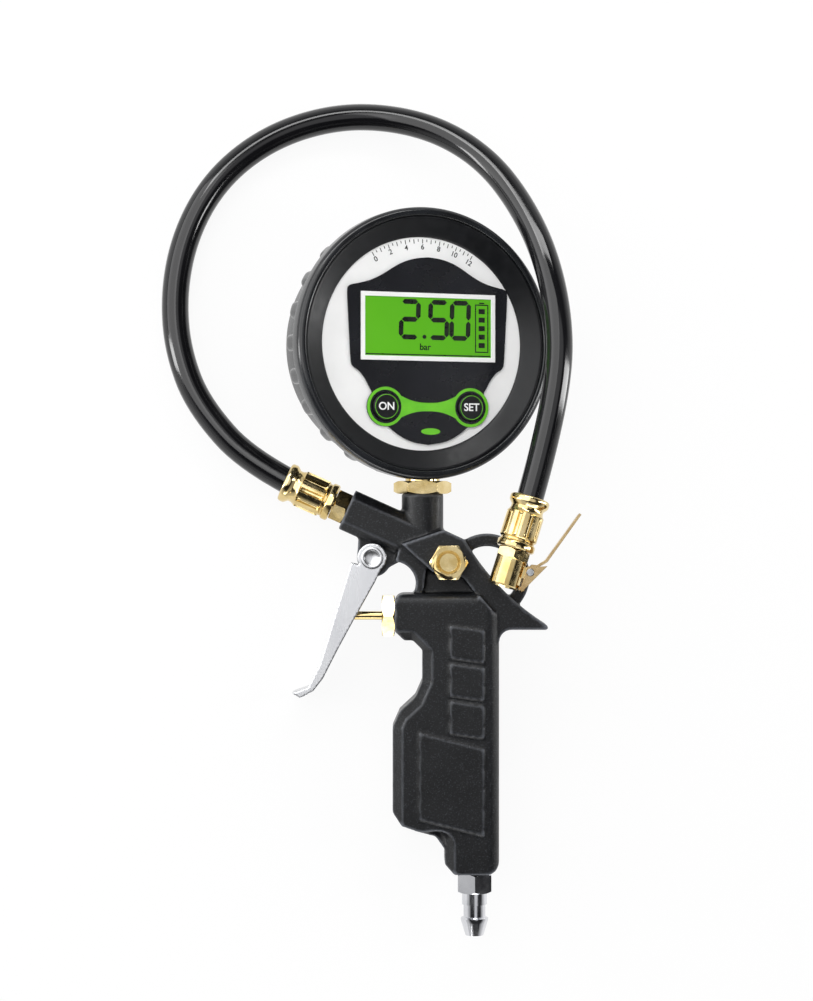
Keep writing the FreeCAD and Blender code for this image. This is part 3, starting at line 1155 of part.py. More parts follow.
# Hose: one route of hand-set points, straight runs joined by tangent arcs

HOSE_POINTS = (
    (-60.4, 144.9, 0.0), (-80.7, 167.2, -0.3), (-88.3, 187.5, -1.3), (-89.8, 207.5, -2.8),
    (-86.5, 227.0, -5.0), (-78.5, 244.5, -8.0), (-66.5, 258.3, -12.0), (-50.0, 268.9, -16.6),
    (-30.0, 274.8, -21.0), (-10.1, 274.3, -22.0), (8.4, 268.5, -19.0), (24.0, 257.1, -13.0),
    (35.2, 241.4, -5.5), (43.8, 222.0, 3.5), (48.5, 199.0, 10.3), (48.6, 177.0, 11.0),
    (40.5, 140.9, 11.8))


def hosePath(points):
    """Edges of the path and the radius at each corner: 0.45 of the shorter run over tan(half the turn)."""
    edges = []
    radii = []
    last = points[0]
    for before, corner, after in zip(points, points[1:], points[2:]):
        into = corner - before
        out = after - corner
        reach = 0.45 * min(into.Length, out.Length)
        turnBy = into.getAngle(out)
        radii.append(reach / math.tan(turnBy / 2))
        start = corner - into.normalize() * reach
        end = corner + out.normalize() * reach
        middle = (start + end) / 2
        rise = radii[-1] * (1 - math.cos(turnBy / 2))
        middle = middle + (corner - middle).normalize() * rise
        edges.append(Part.LineSegment(last, start).toShape())
        edges.append(Part.Arc(start, middle, end).toShape())
        last = end
    edges.append(Part.LineSegment(last, points[-1]).toShape())
    return edges, radii


def hose(start, finish):
    """The hose between the floors of its two sleeves."""
    points = [start] + [V(*point) for point in HOSE_POINTS] + [finish]
    edges, radii = hosePath(points)
    path = Part.Wire(edges)
    way = points[1] - points[0]
    sections = [Part.Wire(Part.makeCircle(mm(radius), start, way)) for radius in (s.hose_radius, s.hose_bore)]
    outer, inner = [path.makePipeShell([section], True, False) for section in sections]
    item = doc.addObject("Part::Feature", "hose")
    item.Label = "hose"
    item.Shape = outer.cut(inner)
    subParts.append(item)
    area = math.pi * (mm(s.hose_radius) ** 2 - mm(s.hose_bore) ** 2)
    print("hose length", round(path.Length, 1), "bend radii", [round(radius, 1) for radius in radii])
    print("hose volume", round(item.Shape.Volume, 1), "section x length", round(area * path.Length, 1))


def layDown():
    """Turn every sub-part from the gun's frame to the ground, as the gun rests on its side."""
    turnOver = FreeCAD.Placement(V(0, 0, 0), FreeCAD.Rotation(V(1, 0, 0), mm(s.lay_pitch)).multiply(
        FreeCAD.Rotation(V(0, 1, 0), -mm(s.lay_roll))))
    for item in subParts:
        item.Placement = turnOver.multiply(item.Placement)
    doc.recompute()
    onGun = [item for item in subParts if item.Label != "hose" and not item.Label.startswith("chuck")]
    boxes = [item.Shape.optimalBoundingBox(False) for item in onGun]
    low = V(min(box.XMin for box in boxes), min(box.YMin for box in boxes), min(box.ZMin for box in boxes))
    high = V(max(box.XMax for box in boxes), max(box.YMax for box in boxes), low.z)
    shift = FreeCAD.Placement((low + high) / -2, FreeCAD.Rotation())
    for item in subParts:
        item.Placement = shift.multiply(item.Placement)
    doc.recompute()
    return shift.multiply(turnOver)


def partChecks():
    """Every object is sound and every sub-part is a closed, valid solid."""
    doc.recompute()
    for item in doc.Objects:
        if "Invalid" in item.State or "Error" in item.State:
            raise ValueError("%s failed: %s" % (item.Name, item.State))
    for item in subParts:
        if item.Shape.isNull() or not item.Shape.isValid() or not item.Shape.Solids:
            raise ValueError(item.Label + " has no valid solid")


gunBody()
triggerLever()
triggerPin()
valve()
sidePlug()
inletPlug()
gaugeStem()
gaugeShell()
gaugeFace()
hoseStart = fitting("hose_nipple", "hose_sleeve", armFrame, sized(0), s.nipple_hex,
                    s.nipple_thread, s.nipple_reach)
chuck()
hoseEnd = fitting("chuck_nipple", "chuck_sleeve", turned(chuckFrame, 30), s.barrel_length, s.chuck_hex,
                  s.mouth_radius - 1.1, s.barrel_length - s.mouth_depth - s.gasket_gauge)
hose(armFrame.multVec(V(0, 0, mm(hoseStart))), chuckFrame.multVec(V(0, 0, mm(hoseEnd))))
lay = layDown()
partChecks()
print("lay", lay)
os.makedirs("parts", exist_ok=True)
for item in subParts:
    item.Shape.exportStep("parts/%s.step" % item.Label)
    print(item.Label, len(item.Shape.Solids), round(item.Shape.Volume, 1))
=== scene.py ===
import json
import math

import bmesh
import bpy
import numpy as np
from mathutils import Matrix, Vector


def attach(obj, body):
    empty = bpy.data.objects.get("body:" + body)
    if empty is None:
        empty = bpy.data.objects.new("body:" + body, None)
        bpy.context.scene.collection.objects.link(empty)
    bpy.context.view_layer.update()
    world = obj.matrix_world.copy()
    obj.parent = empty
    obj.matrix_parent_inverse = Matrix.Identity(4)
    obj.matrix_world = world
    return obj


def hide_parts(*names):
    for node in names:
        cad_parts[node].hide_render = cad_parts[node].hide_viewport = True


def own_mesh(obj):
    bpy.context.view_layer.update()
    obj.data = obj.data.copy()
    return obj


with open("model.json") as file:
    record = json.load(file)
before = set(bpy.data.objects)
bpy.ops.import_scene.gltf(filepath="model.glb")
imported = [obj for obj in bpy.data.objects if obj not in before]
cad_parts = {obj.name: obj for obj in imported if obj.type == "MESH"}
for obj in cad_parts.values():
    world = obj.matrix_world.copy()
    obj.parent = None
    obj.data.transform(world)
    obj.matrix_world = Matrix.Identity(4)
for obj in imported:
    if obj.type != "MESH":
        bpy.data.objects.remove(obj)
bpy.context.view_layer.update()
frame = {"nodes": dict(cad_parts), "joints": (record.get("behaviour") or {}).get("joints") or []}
nodes = frame["nodes"]
scene = bpy.context.scene
print("packed model loaded:", len(nodes), "nodes")

# The inflator is drawn in the gun's own frame, in millimetres: x towards the back of the hand,
# y up the grip, z out of the side that is seen. It lies rolled over on to the gauge's rim.
lying = {"pitch": 4.3, "roll": 12.7, "pivot": (-18.1, 112.6, 0.0)}
turnOver = (Matrix.Rotation(math.radians(lying["pitch"]), 4, "X")
            @ Matrix.Rotation(math.radians(-lying["roll"]), 4, "Y"))
hinge = next(joint for joint in frame["joints"] if joint["name"] == "trigger_hinge")
drop = Vector(hinge["pos_m"]) - turnOver @ (Vector(lying["pivot"]) / 1000)
gunToGround = Matrix.Translation(drop) @ turnOver


def axesFrame(origin, z, x):
    # a frame in the gun's millimetres whose z and x axes point as given
    z = Vector(z).normalized()
    x = Vector(x).normalized()
    y = z.cross(x)
    turned = Matrix((x, y, z)).transposed().to_4x4()
    return Matrix.Translation(Vector(origin)) @ turned


def onGround(points, local=None):
    # millimetres in a local frame of the gun to metres on the ground, whole arrays at once
    points = np.asarray(points, float).reshape(-1, 3)
    if local is not None:
        placed = np.array(local)
        points = points @ placed[:3, :3].T + placed[:3, 3]
    placed = np.array(gunToGround)
    return points / 1000 @ placed[:3, :3].T + placed[:3, 3]


gauge = {"yaw": 21.5, "centre": 188.9, "ahead": 13.0, "shift": 3.2}
yaw = math.radians(gauge["yaw"])
gaugeWay = Vector((math.sin(yaw), 0, math.cos(yaw)))
gaugeAcross = Vector((math.cos(yaw), 0, -math.sin(yaw)))
gaugeFrame = axesFrame(Vector((0, gauge["centre"], 0)) + gaugeWay * gauge["ahead"] - gaugeAcross * gauge["shift"],
                       gaugeWay, gaugeAcross)


# Camera: square on to the gun's side, 850 mm away

view = {"across": -5.76, "up": 133.1, "away": 850.0, "lens": 84.9}
camera = bpy.data.objects.new("camera", bpy.data.cameras.new("camera"))
scene.collection.objects.link(camera)
camera.data.sensor_fit = "VERTICAL"
camera.data.sensor_width = 36.0
camera.data.sensor_height = 36.0
camera.data.lens = view["lens"]
camera.data.clip_start = 0.01
camera.data.clip_end = 20.0
camera.matrix_world = gunToGround @ Matrix.Translation(Vector((view["across"], view["up"], view["away"])) / 1000)
scene.camera = camera
scene.view_settings.view_transform = "Standard"
print("camera in place")


# Materials

def colour(text):
    # an sRGB hex value as linear red, green, blue and alpha
    parts = [int(text[at:at + 2], 16) / 255 for at in (1, 3, 5)]
    linear = [part / 12.92 if part <= 0.04045 else ((part + 0.055) / 1.055) ** 2.4 for part in parts]
    return (*linear, 1.0)


def addNode(tree, kind, settings=None, links=None):
    node = tree.nodes.new(kind)
    for name, value in (settings or {}).items():
        if isinstance(name, int) or name in node.inputs:
            node.inputs[name].default_value = value
        else:
            setattr(node, name, value)
    for name, socket in (links or {}).items():
        tree.links.new(socket, node.inputs[name])
    return node


def shades(tree, factor, *stops):
    # a ramp from one hex colour to the next, each at its share of the way
    ramp = addNode(tree, "ShaderNodeValToRGB", links={"Fac": factor})
    elements = ramp.color_ramp.elements
    for number, (share, text) in enumerate(stops):
        spot = elements[number] if number < 2 else elements.new(share)
        spot.position = share
        spot.color = colour(text)
    return ramp.outputs["Color"]


def finish(name, look, shader=None):
    # three layers of detail, each a noise in the object's own millimetres: a broad one that shades
    # the colour, a middle one that varies the gloss, and a fine one that lifts the surface
    material = bpy.data.materials.new(name)
    material.use_nodes = True
    tree = material.node_tree
    tree.nodes.clear()
    place = addNode(tree, "ShaderNodeTexCoord").outputs["Object"]
    if "stretch" in look:
        place = addNode(tree, "ShaderNodeMapping", {"Scale": look["stretch"]}, {"Vector": place}).outputs["Vector"]
    broad = addNode(tree, "ShaderNodeTexNoise", {"Scale": 1000 / look["mottle"], "Detail": 4.0}, {"Vector": place})
    tint = shades(tree, broad.outputs["Fac"], (0.35, look["dark"]), (0.65, look["light"]))
    middle = addNode(tree, "ShaderNodeTexNoise", {"Scale": 1000 / look["smudge"], "Detail": 3.0}, {"Vector": place})
    gloss = addNode(tree, "ShaderNodeMapRange",
                    {"From Min": 0.3, "From Max": 0.7, "To Min": look["rough"][0], "To Max": look["rough"][1]},
                    {"Value": middle.outputs["Fac"]})
    fine = addNode(tree, "ShaderNodeTexNoise", {"Scale": 1000 / look["grain"], "Detail": 2.0}, {"Vector": place})
    lift = addNode(tree, "ShaderNodeBump", {"Strength": 1.0, "Distance": look["lift"] / 1000},
                   {"Height": fine.outputs["Fac"]})
    if "paintedGlint" in look:
        # painted glints: single grains of the powder are drawn in a lighter colour, as if they caught the light
        glint = addNode(tree, "ShaderNodeMapRange", {"From Min": 0.56, "From Max": 0.68, "To Max": 0.8},
                        {"Value": fine.outputs["Fac"]})
        tint = addNode(tree, "ShaderNodeMix", {"data_type": "RGBA", 7: colour(look["paintedGlint"])},
                       {0: glint.outputs["Result"], 6: tint}).outputs[2]
    # painted highlight: sharp edges, found by their pointiness, show a little lighter, as if they caught the light
    if "paintedEdgeLight" in look:
        # edges rubbed by hands and drawers show a little lighter
        edge = addNode(tree, "ShaderNodeNewGeometry").outputs["Pointiness"]
        paintedEdgeShare = addNode(tree, "ShaderNodeMapRange", {"From Min": 0.508, "From Max": 0.55, "To Max": look["paintedEdgeShare"]},
                      {"Value": edge})
        tint = addNode(tree, "ShaderNodeMix", {"data_type": "RGBA", 7: colour(look["paintedEdgeLight"])},
                       {0: paintedEdgeShare.outputs["Result"], 6: tint}).outputs[2]
    skin = addNode(tree, "ShaderNodeBsdfPrincipled", {"Metallic": look.get("metal", 0.0), **(shader or {})},
                   {"Base Color": tint, "Roughness": gloss.outputs["Result"], "Normal": lift.outputs["Normal"]})
    addNode(tree, "ShaderNodeOutputMaterial", links={"Surface": skin.outputs["BSDF"]})
    return material


# powder-coated aluminium die casting: a fine sand texture breaks the black with tiny painted glints, and its sharp
# edges carry a painted highlight
powderCoat = finish("powderCoatedCasting", {
    "dark": "#0e0f11", "light": "#141517", "mottle": 9.0, "smudge": 2.2, "rough": (0.3, 0.42),
    "grain": 0.5, "lift": 0.08, "paintedGlint": "#303236", "paintedEdgeLight": "#64676d", "paintedEdgeShare": 0.85}, {"Specular IOR Level": 0.32})
# chrome plate over turned steel: near mirror, very faintly wavy
chromePlate = finish("chromePlatedSteel", {
    "dark": "#cfd0d4", "light": "#e6e7ea", "mottle": 14.0, "smudge": 5.0, "rough": (0.1, 0.2), "metal": 1.0,
    "grain": 3.0, "lift": 0.012})
# satin nickel: the pressed trigger, brushed down its length, and its pin
satinNickel = finish("brushedNickelPlate", {
    "dark": "#cdced1", "light": "#dadbdd", "mottle": 14.0, "smudge": 9.0, "rough": (0.24, 0.3), "metal": 1.0,
    "stretch": (1.0, 0.12, 1.0), "grain": 0.35, "lift": 0.006})
# turned and polished brass, pale under a clear plate: sharp highlights, faint tool marks
polishedBrass = finish("polishedBrass", {
    "dark": "#d4ba7c", "light": "#ebd7a4", "mottle": 6.0, "smudge": 1.6, "rough": (0.08, 0.2), "metal": 1.0,
    "grain": 0.6, "lift": 0.004})
# zinc-plated steel: dull silver with a cloudy passivation
zincPlate = finish("zincPlatedSteel", {
    "dark": "#9ea1a4", "light": "#c2c4c6", "mottle": 2.5, "smudge": 0.9, "rough": (0.28, 0.45), "metal": 1.0,
    "grain": 0.3, "lift": 0.006})
# pressed bronze strip, clear plated: paler and flatter than the turned brass
bronzeStrip = finish("pressedBronzeStrip", {
    "dark": "#b79a6c", "light": "#d0b78a", "mottle": 5.0, "smudge": 2.5, "rough": (0.2, 0.3), "metal": 1.0,
    "grain": 0.5, "lift": 0.004})
# moulded nitrile rubber: glossy black, so that the lip carries a thin line of light
bootRubber = finish("mouldedRubber", {
    "dark": "#17181a", "light": "#222427", "mottle": 18.0, "smudge": 5.0, "rough": (0.15, 0.22),
    "grain": 0.45, "lift": 0.018}, {"Specular IOR Level": 0.55})
# extruded hose rubber: a wet-looking black with long bright reflections
hoseRubber = finish("extrudedHoseRubber", {
    "dark": "#0d0d0f", "light": "#151517", "mottle": 30.0, "smudge": 8.0, "rough": (0.08, 0.14),
    "grain": 0.8, "lift": 0.003}, {"Specular IOR Level": 0.6})
# moulded nitrile seals: dull black that barely shines
sealRubber = finish("sealRubber", {
    "dark": "#151515", "light": "#1f1f20", "mottle": 2.0, "smudge": 1.0, "rough": (0.6, 0.75),
    "grain": 0.2, "lift": 0.01})
# moulded ABS: fine satin from a spark-eroded mould
blackPlastic = finish("mouldedBlackAbs", {
    "dark": "#0e0f11", "light": "#141518", "mottle": 12.0, "smudge": 3.0, "rough": (0.3, 0.4),
    "grain": 0.25, "lift": 0.006}, {"Specular IOR Level": 0.35})
# white ABS of the dial and the display's frame: clean, almost matt
whitePlastic = finish("whiteDialPlate", {
    "dark": "#f1f1f0", "light": "#f8f8f7", "mottle": 15.0, "smudge": 4.0, "rough": (0.45, 0.55),
    "grain": 0.3, "lift": 0.003})
# black film printed behind clear polyester: deep black, soft gloss
faceFilm = finish("printedFaceFilm", {
    "dark": "#15161a", "light": "#1c1d22", "mottle": 16.0, "smudge": 9.0, "rough": (0.25, 0.29),
    "grain": 0.6, "lift": 0.003})
# backlit display under glass: an even green glow
displayGreen = finish("backlitDisplay", {
    "dark": "#4a961a", "light": "#52a01e", "mottle": 45.0, "smudge": 10.0, "rough": (0.16, 0.22),
    "grain": 2.0, "lift": 0.001}, {"Emission Color": colour("#66bb28"), "Emission Strength": 0.25})
# switched-on segments behind the glass: near black with a green cast
segmentInk = finish("displaySegments", {
    "dark": "#0c130a", "light": "#121b0e", "mottle": 4.0, "smudge": 2.0, "rough": (0.25, 0.35),
    "grain": 0.5, "lift": 0.001})
# screen-printed inks: flat, soft-edged colour that lies a hair above its ground
blackInk = finish("blackScreenPrint", {
    "dark": "#111113", "light": "#19191b", "mottle": 3.0, "smudge": 1.0, "rough": (0.4, 0.55),
    "grain": 0.15, "lift": 0.002})
whiteInk = finish("whiteScreenPrint", {
    "dark": "#eeeeee", "light": "#f8f8f8", "mottle": 3.0, "smudge": 1.0, "rough": (0.4, 0.55),
    "grain": 0.15, "lift": 0.002})
greenInk = finish("greenScreenPrint", {
    "dark": "#62c01e", "light": "#6ecb24", "mottle": 5.0, "smudge": 1.5, "rough": (0.35, 0.5),
    "grain": 0.15, "lift": 0.002})
# green solder mask over copper
solderMask = finish("solderMaskBoard", {
    "dark": "#0d3f20", "light": "#17582e", "mottle": 1.2, "smudge": 1.0, "rough": (0.2, 0.35),
    "grain": 0.6, "lift": 0.02})
# printed steel jacket of a dry cell
cellJacket = finish("dryCellJacket", {
    "dark": "#8d9296", "light": "#b4b8bc", "mottle": 8.0, "smudge": 2.0, "rough": (0.25, 0.35), "metal": 0.8,
    "grain": 0.3, "lift": 0.004})
# milky diffuser of the backlight
diffuserPlastic = finish("milkyDiffuser", {
    "dark": "#e6ede2", "light": "#f2f6ef", "mottle": 9.0, "smudge": 3.0, "rough": (0.4, 0.5),
    "grain": 0.4, "lift": 0.003})

finishes = {
    powderCoat: ["gun_body"],
    satinNickel: ["trigger_lever", "trigger_pin"],
    chromePlate: ["inlet_plug"],
    polishedBrass: ["valve_gland_nut", "valve_stem", "side_plug", "gauge_stem", "hose_nipple", "hose_sleeve",
                    "chuck_barrel", "chuck_nipple", "chuck_sleeve", "valve_seat", "chuck_depressor"],
    bronzeStrip: ["chuck_lever"],
    zincPlate: ["chuck_lever_pin", "chuck_lever_spring", "valve_spring", "valve_poppet",
                "door_screw", "board_screws", "battery_contacts", "pressure_sensor"],
    sealRubber: ["stem_seal", "side_plug_washer", "inlet_washer", "chuck_gasket"],
    bootRubber: ["gauge_boot"],
    hoseRubber: ["hose"],
    blackPlastic: ["gauge_case", "battery_door", "bezel_ring", "button_switches", "button_on", "button_set"],
    whitePlastic: ["dial_plate", "display_frame"],
    diffuserPlastic: ["backlight"],
    faceFilm: ["face_panel"],
    displayGreen: ["display_glass"],
    solderMask: ["circuit_board"],
    cellJacket: ["battery_cells"],
}
finishOf = {node: material for material, members in finishes.items() for node in members}
for name, node in nodes.items():
    node.data.materials.clear()
    node.data.materials.append(finishOf[name])
print("materials made:", len(finishes), "finishes on CAD nodes")


# Making pieces: angles in degrees, everything else in millimetres

edges = {"flat": 0.5, "sharp": 35.0, "turned": 40.0, "segments": 2}
ink = {"thick": 0.024, "clear": 0.002}
inkLift = ink["thick"] / 2 + ink["clear"]
lettering = {"capital": 0.73, "bold": 0.026}


def addPiece(name, mesh, material, body):
    piece = bpy.data.objects.new(name, mesh)
    scene.collection.objects.link(piece)
    mesh.materials.clear()
    mesh.materials.append(material)
    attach(piece, body)
    return piece


def softenShading(mesh, limit):
    # smooth shading that breaks at edges sharper than the limit
    work = bmesh.new()
    work.from_mesh(mesh)
    for face in work.faces:
        face.smooth = True
    for edge in work.edges:
        edge.smooth = edge.calc_face_angle(0.0) < math.radians(limit)
    work.to_mesh(mesh)
    work.free()


def mergedCopy(node):
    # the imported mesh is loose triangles, so a copy is merged before anything is done to it
    mesh = nodes[node].data.copy()
    work = bmesh.new()
    work.from_mesh(mesh)
    bmesh.ops.remove_doubles(work, verts=work.verts, dist=2e-6)
    bmesh.ops.dissolve_degenerate(work, edges=work.edges, dist=1e-6)
    work.to_mesh(mesh)
    work.free()
    return mesh


def easedCopy(node, body, width):
    # a machined or moulded piece whose sharp edges are broken by a small bevel, width in millimetres
    mesh = mergedCopy(node)
    work = bmesh.new()
    work.from_mesh(mesh)
    bmesh.ops.dissolve_limit(work, angle_limit=math.radians(edges["flat"]), verts=work.verts, edges=work.edges)
    work.to_mesh(mesh)
    work.free()
    softenShading(mesh, edges["sharp"])
    piece = addPiece(node + "_eased", mesh, finishOf[node], body)
    bevel = piece.modifiers.new("brokenEdges", "BEVEL")
    bevel.width = width / 1000
    bevel.segments = edges["segments"]
    bevel.limit_method = "ANGLE"
    bevel.angle_limit = math.radians(edges["sharp"])
    bevel.harden_normals = True
    bevel.use_clamp_overlap = True
    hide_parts(node)
    return piece


def castCopy(node, body, grid, passes):
    # The merged solid is remeshed on a fine grid. In each pass every point moves half the way to the
    # mean of its neighbours and a little more back again: edges round as in a mould, nothing shrinks.
    mesh = mergedCopy(node)
    piece = addPiece(node + "_cast", mesh, finishOf[node], body)
    remesh = piece.modifiers.new("grid", "REMESH")
    remesh.mode = "VOXEL"
    remesh.voxel_size = grid / 1000
    remesh.adaptivity = 0.0
    bpy.context.view_layer.update()
    made = bpy.data.meshes.new_from_object(piece.evaluated_get(bpy.context.evaluated_depsgraph_get()))
    piece.modifiers.clear()
    piece.data = made
    made.materials.clear()
    made.materials.append(finishOf[node])
    count = len(made.vertices)
    spots = np.empty(count * 3)
    made.vertices.foreach_get("co", spots)
    spots = spots.reshape(-1, 3)
    ends = np.empty(len(made.edges) * 2, np.int64)
    made.edges.foreach_get("vertices", ends)
    ends = ends.reshape(-1, 2)
    both = np.concatenate([ends, ends[:, ::-1]])
    share = np.bincount(both[:, 0], minlength=count)[:, None]
    for step in range(passes):
        for amount in (0.5, -0.52):
            total = np.stack([np.bincount(both[:, 0], weights=spots[both[:, 1], axis], minlength=count)
                              for axis in range(3)], axis=1)
            spots += amount * (total / share - spots)
    made.vertices.foreach_set("co", spots.ravel())
    made.polygons.foreach_set("use_smooth", np.ones(len(made.polygons), bool))
    made.update()
    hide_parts(node)
    return piece


def closedGrid(name, points):
    # a mesh from a grid of points in metres, shape (along, across, 3), that closes on itself both ways
    along, across = points.shape[:2]
    rows = np.arange(along)[:, None]
    columns = np.arange(across)[None, :]
    nextRow = (rows + 1) % along
    nextColumn = (columns + 1) % across
    faces = np.stack([rows * across + columns, rows * across + nextColumn,
                      nextRow * across + nextColumn, nextRow * across + columns], axis=-1).reshape(-1, 4)
    mesh = bpy.data.meshes.new(name)
    mesh.from_pydata(points.reshape(-1, 3), [], faces)
    work = bmesh.new()
    work.from_mesh(mesh)
    # points that meet on an axis become one
    bmesh.ops.remove_doubles(work, verts=work.verts, dist=1e-7)
    bmesh.ops.delete(work, geom=[edge for edge in work.edges if not edge.link_faces], context="EDGES")
    bmesh.ops.recalc_face_normals(work, faces=work.faces)
    work.to_mesh(mesh)
    work.free()
    mesh.polygons.foreach_set("use_smooth", np.ones(len(mesh.polygons), bool))
    return mesh


def flatMesh(name, outlines, height, local, thick=ink["thick"]):
    # a thin flat shape from closed rings of points, a ring inside another being its hole, laid at a
    # height in a local frame
    curve = bpy.data.curves.new(name, "CURVE")
    curve.dimensions = "2D"
    curve.fill_mode = "BOTH"
    curve.extrude = thick / 2
    for outline in outlines:
        count = len(outline)
        spline = curve.splines.new("POLY")
        spline.points.add(count - 1)
        spline.points.foreach_set("co", np.column_stack([outline, np.zeros(count), np.ones(count)]).ravel())
        spline.use_cyclic_u = True
    return meshOnGround(name, curve, (0.0, 0.0), height, 0.0, local)


def meshOnGround(name, curve, spot, height, turn, local):
    # the flat curve becomes a mesh first; its place is then worked into the points
    carrier = bpy.data.objects.new(name, curve)
    scene.collection.objects.link(carrier)
    mesh = bpy.data.meshes.new_from_object(carrier.evaluated_get(bpy.context.evaluated_depsgraph_get()))
    bpy.data.objects.remove(carrier)
    spots = np.empty(len(mesh.vertices) * 3)
    mesh.vertices.foreach_get("co", spots)
    spots = spots.reshape(-1, 3)
    c, s = math.cos(turn), math.sin(turn)
    turned = np.column_stack([spots[:, 0] * c - spots[:, 1] * s + spot[0],
                              spots[:, 0] * s + spots[:, 1] * c + spot[1], spots[:, 2] + height])
    mesh.vertices.foreach_set("co", onGround(turned, local).ravel())
    mesh.update()
    return mesh


def words(name, text, tall, spot, height, turn, local):
    # plain lettering, centred on its spot; tall is the height of a capital in millimetres
    curve = bpy.data.curves.new(name, "FONT")
    curve.body = text
    curve.size = tall / lettering["capital"]
    curve.align_x = "CENTER"
    curve.align_y = "CENTER"
    curve.extrude = ink["thick"] / 2
    curve.offset = tall * lettering["bold"]
    return meshOnGround(name, curve, spot, height, turn, local)


def arcPoints(centre, radius, start, end, count):
    angles = np.radians(np.linspace(start, end, count))
    return np.column_stack([centre[0] + radius * np.cos(angles), centre[1] + radius * np.sin(angles)])


def ring(radius, centre=(0.0, 0.0), count=72):
    turns = np.linspace(0, 2 * np.pi, count, endpoint=False)
    return np.column_stack([centre[0] + radius * np.cos(turns), centre[1] + radius * np.sin(turns)])


def rectangle(left, low, right, high):
    return np.array([(left, low), (right, low), (right, high), (left, high)], float)


def cornersCut(points):
    # each corner is cut twice, a quarter of the way along its edges, which rounds it
    points = np.array(points, float)
    for step in range(2):
        near = 0.75 * points[:-1] + 0.25 * points[1:]
        far = 0.25 * points[:-1] + 0.75 * points[1:]
        points = np.concatenate([points[:1], np.stack([near, far], axis=1).reshape(-1, 2), points[-1:]])
    return points


def turnedMesh(name, profile, local, turns, lift=0.0, limit=edges["turned"]):
    # a closed profile of (radius, height) turned about the local axis; lift is added to its radius
    profile = np.asarray(profile, float)
    angles = np.linspace(0, 2 * np.pi, turns, endpoint=False)
    radius = profile[:, 0][:, None] + lift
    height = profile[:, 1][:, None] + 0 * angles
    spots = np.stack([radius * np.cos(angles), radius * np.sin(angles), height], axis=-1)
    mesh = closedGrid(name, onGround(spots, local).reshape(spots.shape))
    softenShading(mesh, limit)
    return mesh


# Hose: one smooth line through given points, from sleeve to sleeve

hose = {
    "radius": 4.85, "length": 0.411,
    "arm": (117.6, 24.3, 29.7), "armSleeve": 6.6,
    "mouth": (28.5, 102.9, 16.0), "lean": 17.5, "dip": 6.0, "chuckSleeve": 14.8,
    "route": [(-60.4, 144.9, 0.0), (-80.7, 167.2, -0.3), (-88.3, 187.5, -1.3), (-89.8, 207.5, -2.8),
              (-86.5, 227.0, -5.0), (-78.5, 244.5, -8.0), (-66.5, 258.3, -12.0), (-50.0, 268.9, -16.6),
              (-30.0, 274.8, -21.0), (-10.1, 274.3, -22.0), (8.4, 268.5, -19.0), (24.0, 257.1, -13.0),
              (35.2, 241.4, -5.5), (43.8, 222.0, 3.5), (48.5, 199.0, 10.3), (48.6, 177.0, 11.0),
              (40.5, 140.9, 11.8)],
}
armTurn = math.radians(180 - hose["arm"][1])
armWay = Vector((math.cos(armTurn), math.sin(armTurn), 0))
armFrame = axesFrame(Vector((0, hose["arm"][0], 0)) + armWay * hose["arm"][2], armWay, (0, 0, 1))
lean = math.radians(hose["lean"])
dip = math.radians(hose["dip"])
chuckWay = (math.sin(lean) * math.cos(dip), math.cos(lean) * math.cos(dip), -math.sin(dip))
chuckFrame = axesFrame(hose["mouth"], chuckWay, (math.cos(-lean), math.sin(-lean), 0))
hoseStart = armFrame @ Vector((0, 0, hose["armSleeve"]))
hoseEnd = chuckFrame @ Vector((0, 0, hose["chuckSleeve"]))
route = onGround([tuple(hoseStart), *hose["route"], tuple(hoseEnd)])
line = bpy.data.curves.new("rubberHose", "CURVE")
line.dimensions = "3D"
line.bevel_depth = hose["radius"] / 1000
line.bevel_resolution = 7
line.resolution_u = 10
line.use_fill_caps = True
spline = line.splines.new("NURBS")
spline.points.add(len(route) - 1)
spline.points.foreach_set("co", np.column_stack([route, np.ones(len(route))]).ravel())
spline.order_u = 3
spline.use_endpoint_u = True
line.materials.append(hoseRubber)
rubberHose = bpy.data.objects.new("rubberHose", line)
scene.collection.objects.link(rubberHose)
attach(rubberHose, "gun")
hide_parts("hose")
print("hose laid out")


# Casting and pressing: rounded all over, on a grid as fine as the piece needs

rounded = {"gun_body": {"body": "gun", "grid": 0.55, "passes": 3},
           "trigger_lever": {"body": "trigger", "grid": 0.3, "passes": 2}}
for node, size in rounded.items():
    piece = castCopy(node, **size)
    print(node, "rounded:", len(piece.data.polygons), "faces")


# Pieces with broken edges

eased = {
    "gun": {"side_plug": 0.3, "valve_gland_nut": 0.3, "gauge_stem": 0.35, "inlet_plug": 0.2, "hose_nipple": 0.25,
            "chuck_barrel": 0.15, "chuck_nipple": 0.25, "chuck_lever_pin": 0.1, "display_frame": 0.15,
            "battery_door": 0.3, "gauge_case": 0.3, "door_screw": 0.15},
    "valve": {"valve_stem": 0.1},
    "chuck_thumb_lever": {"chuck_lever": 0.22},
    "on_button": {"button_on": 0.25},
    "set_button": {"button_set": 0.25},
}
for body, members in eased.items():
    for node, width in members.items():
        easedCopy(node, body, width)


# The valve's spring shortens as the trigger is squeezed; here it becomes a merged copy of its own on the gun, and
# its lowest and highest points in the gun's millimetres are found

springMesh = mergedCopy("valve_spring")
valveSpring = addPiece("valveSpringSleeve", springMesh, finishOf["valve_spring"], "gun")
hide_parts("valve_spring")
toGun = gunToGround.inverted()
springPoints = np.array([toGun @ vertex.co * 1000 for vertex in springMesh.vertices])
low, high = springPoints.min(axis=0), springPoints.max(axis=0)
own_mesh(valveSpring)


# Turned pieces

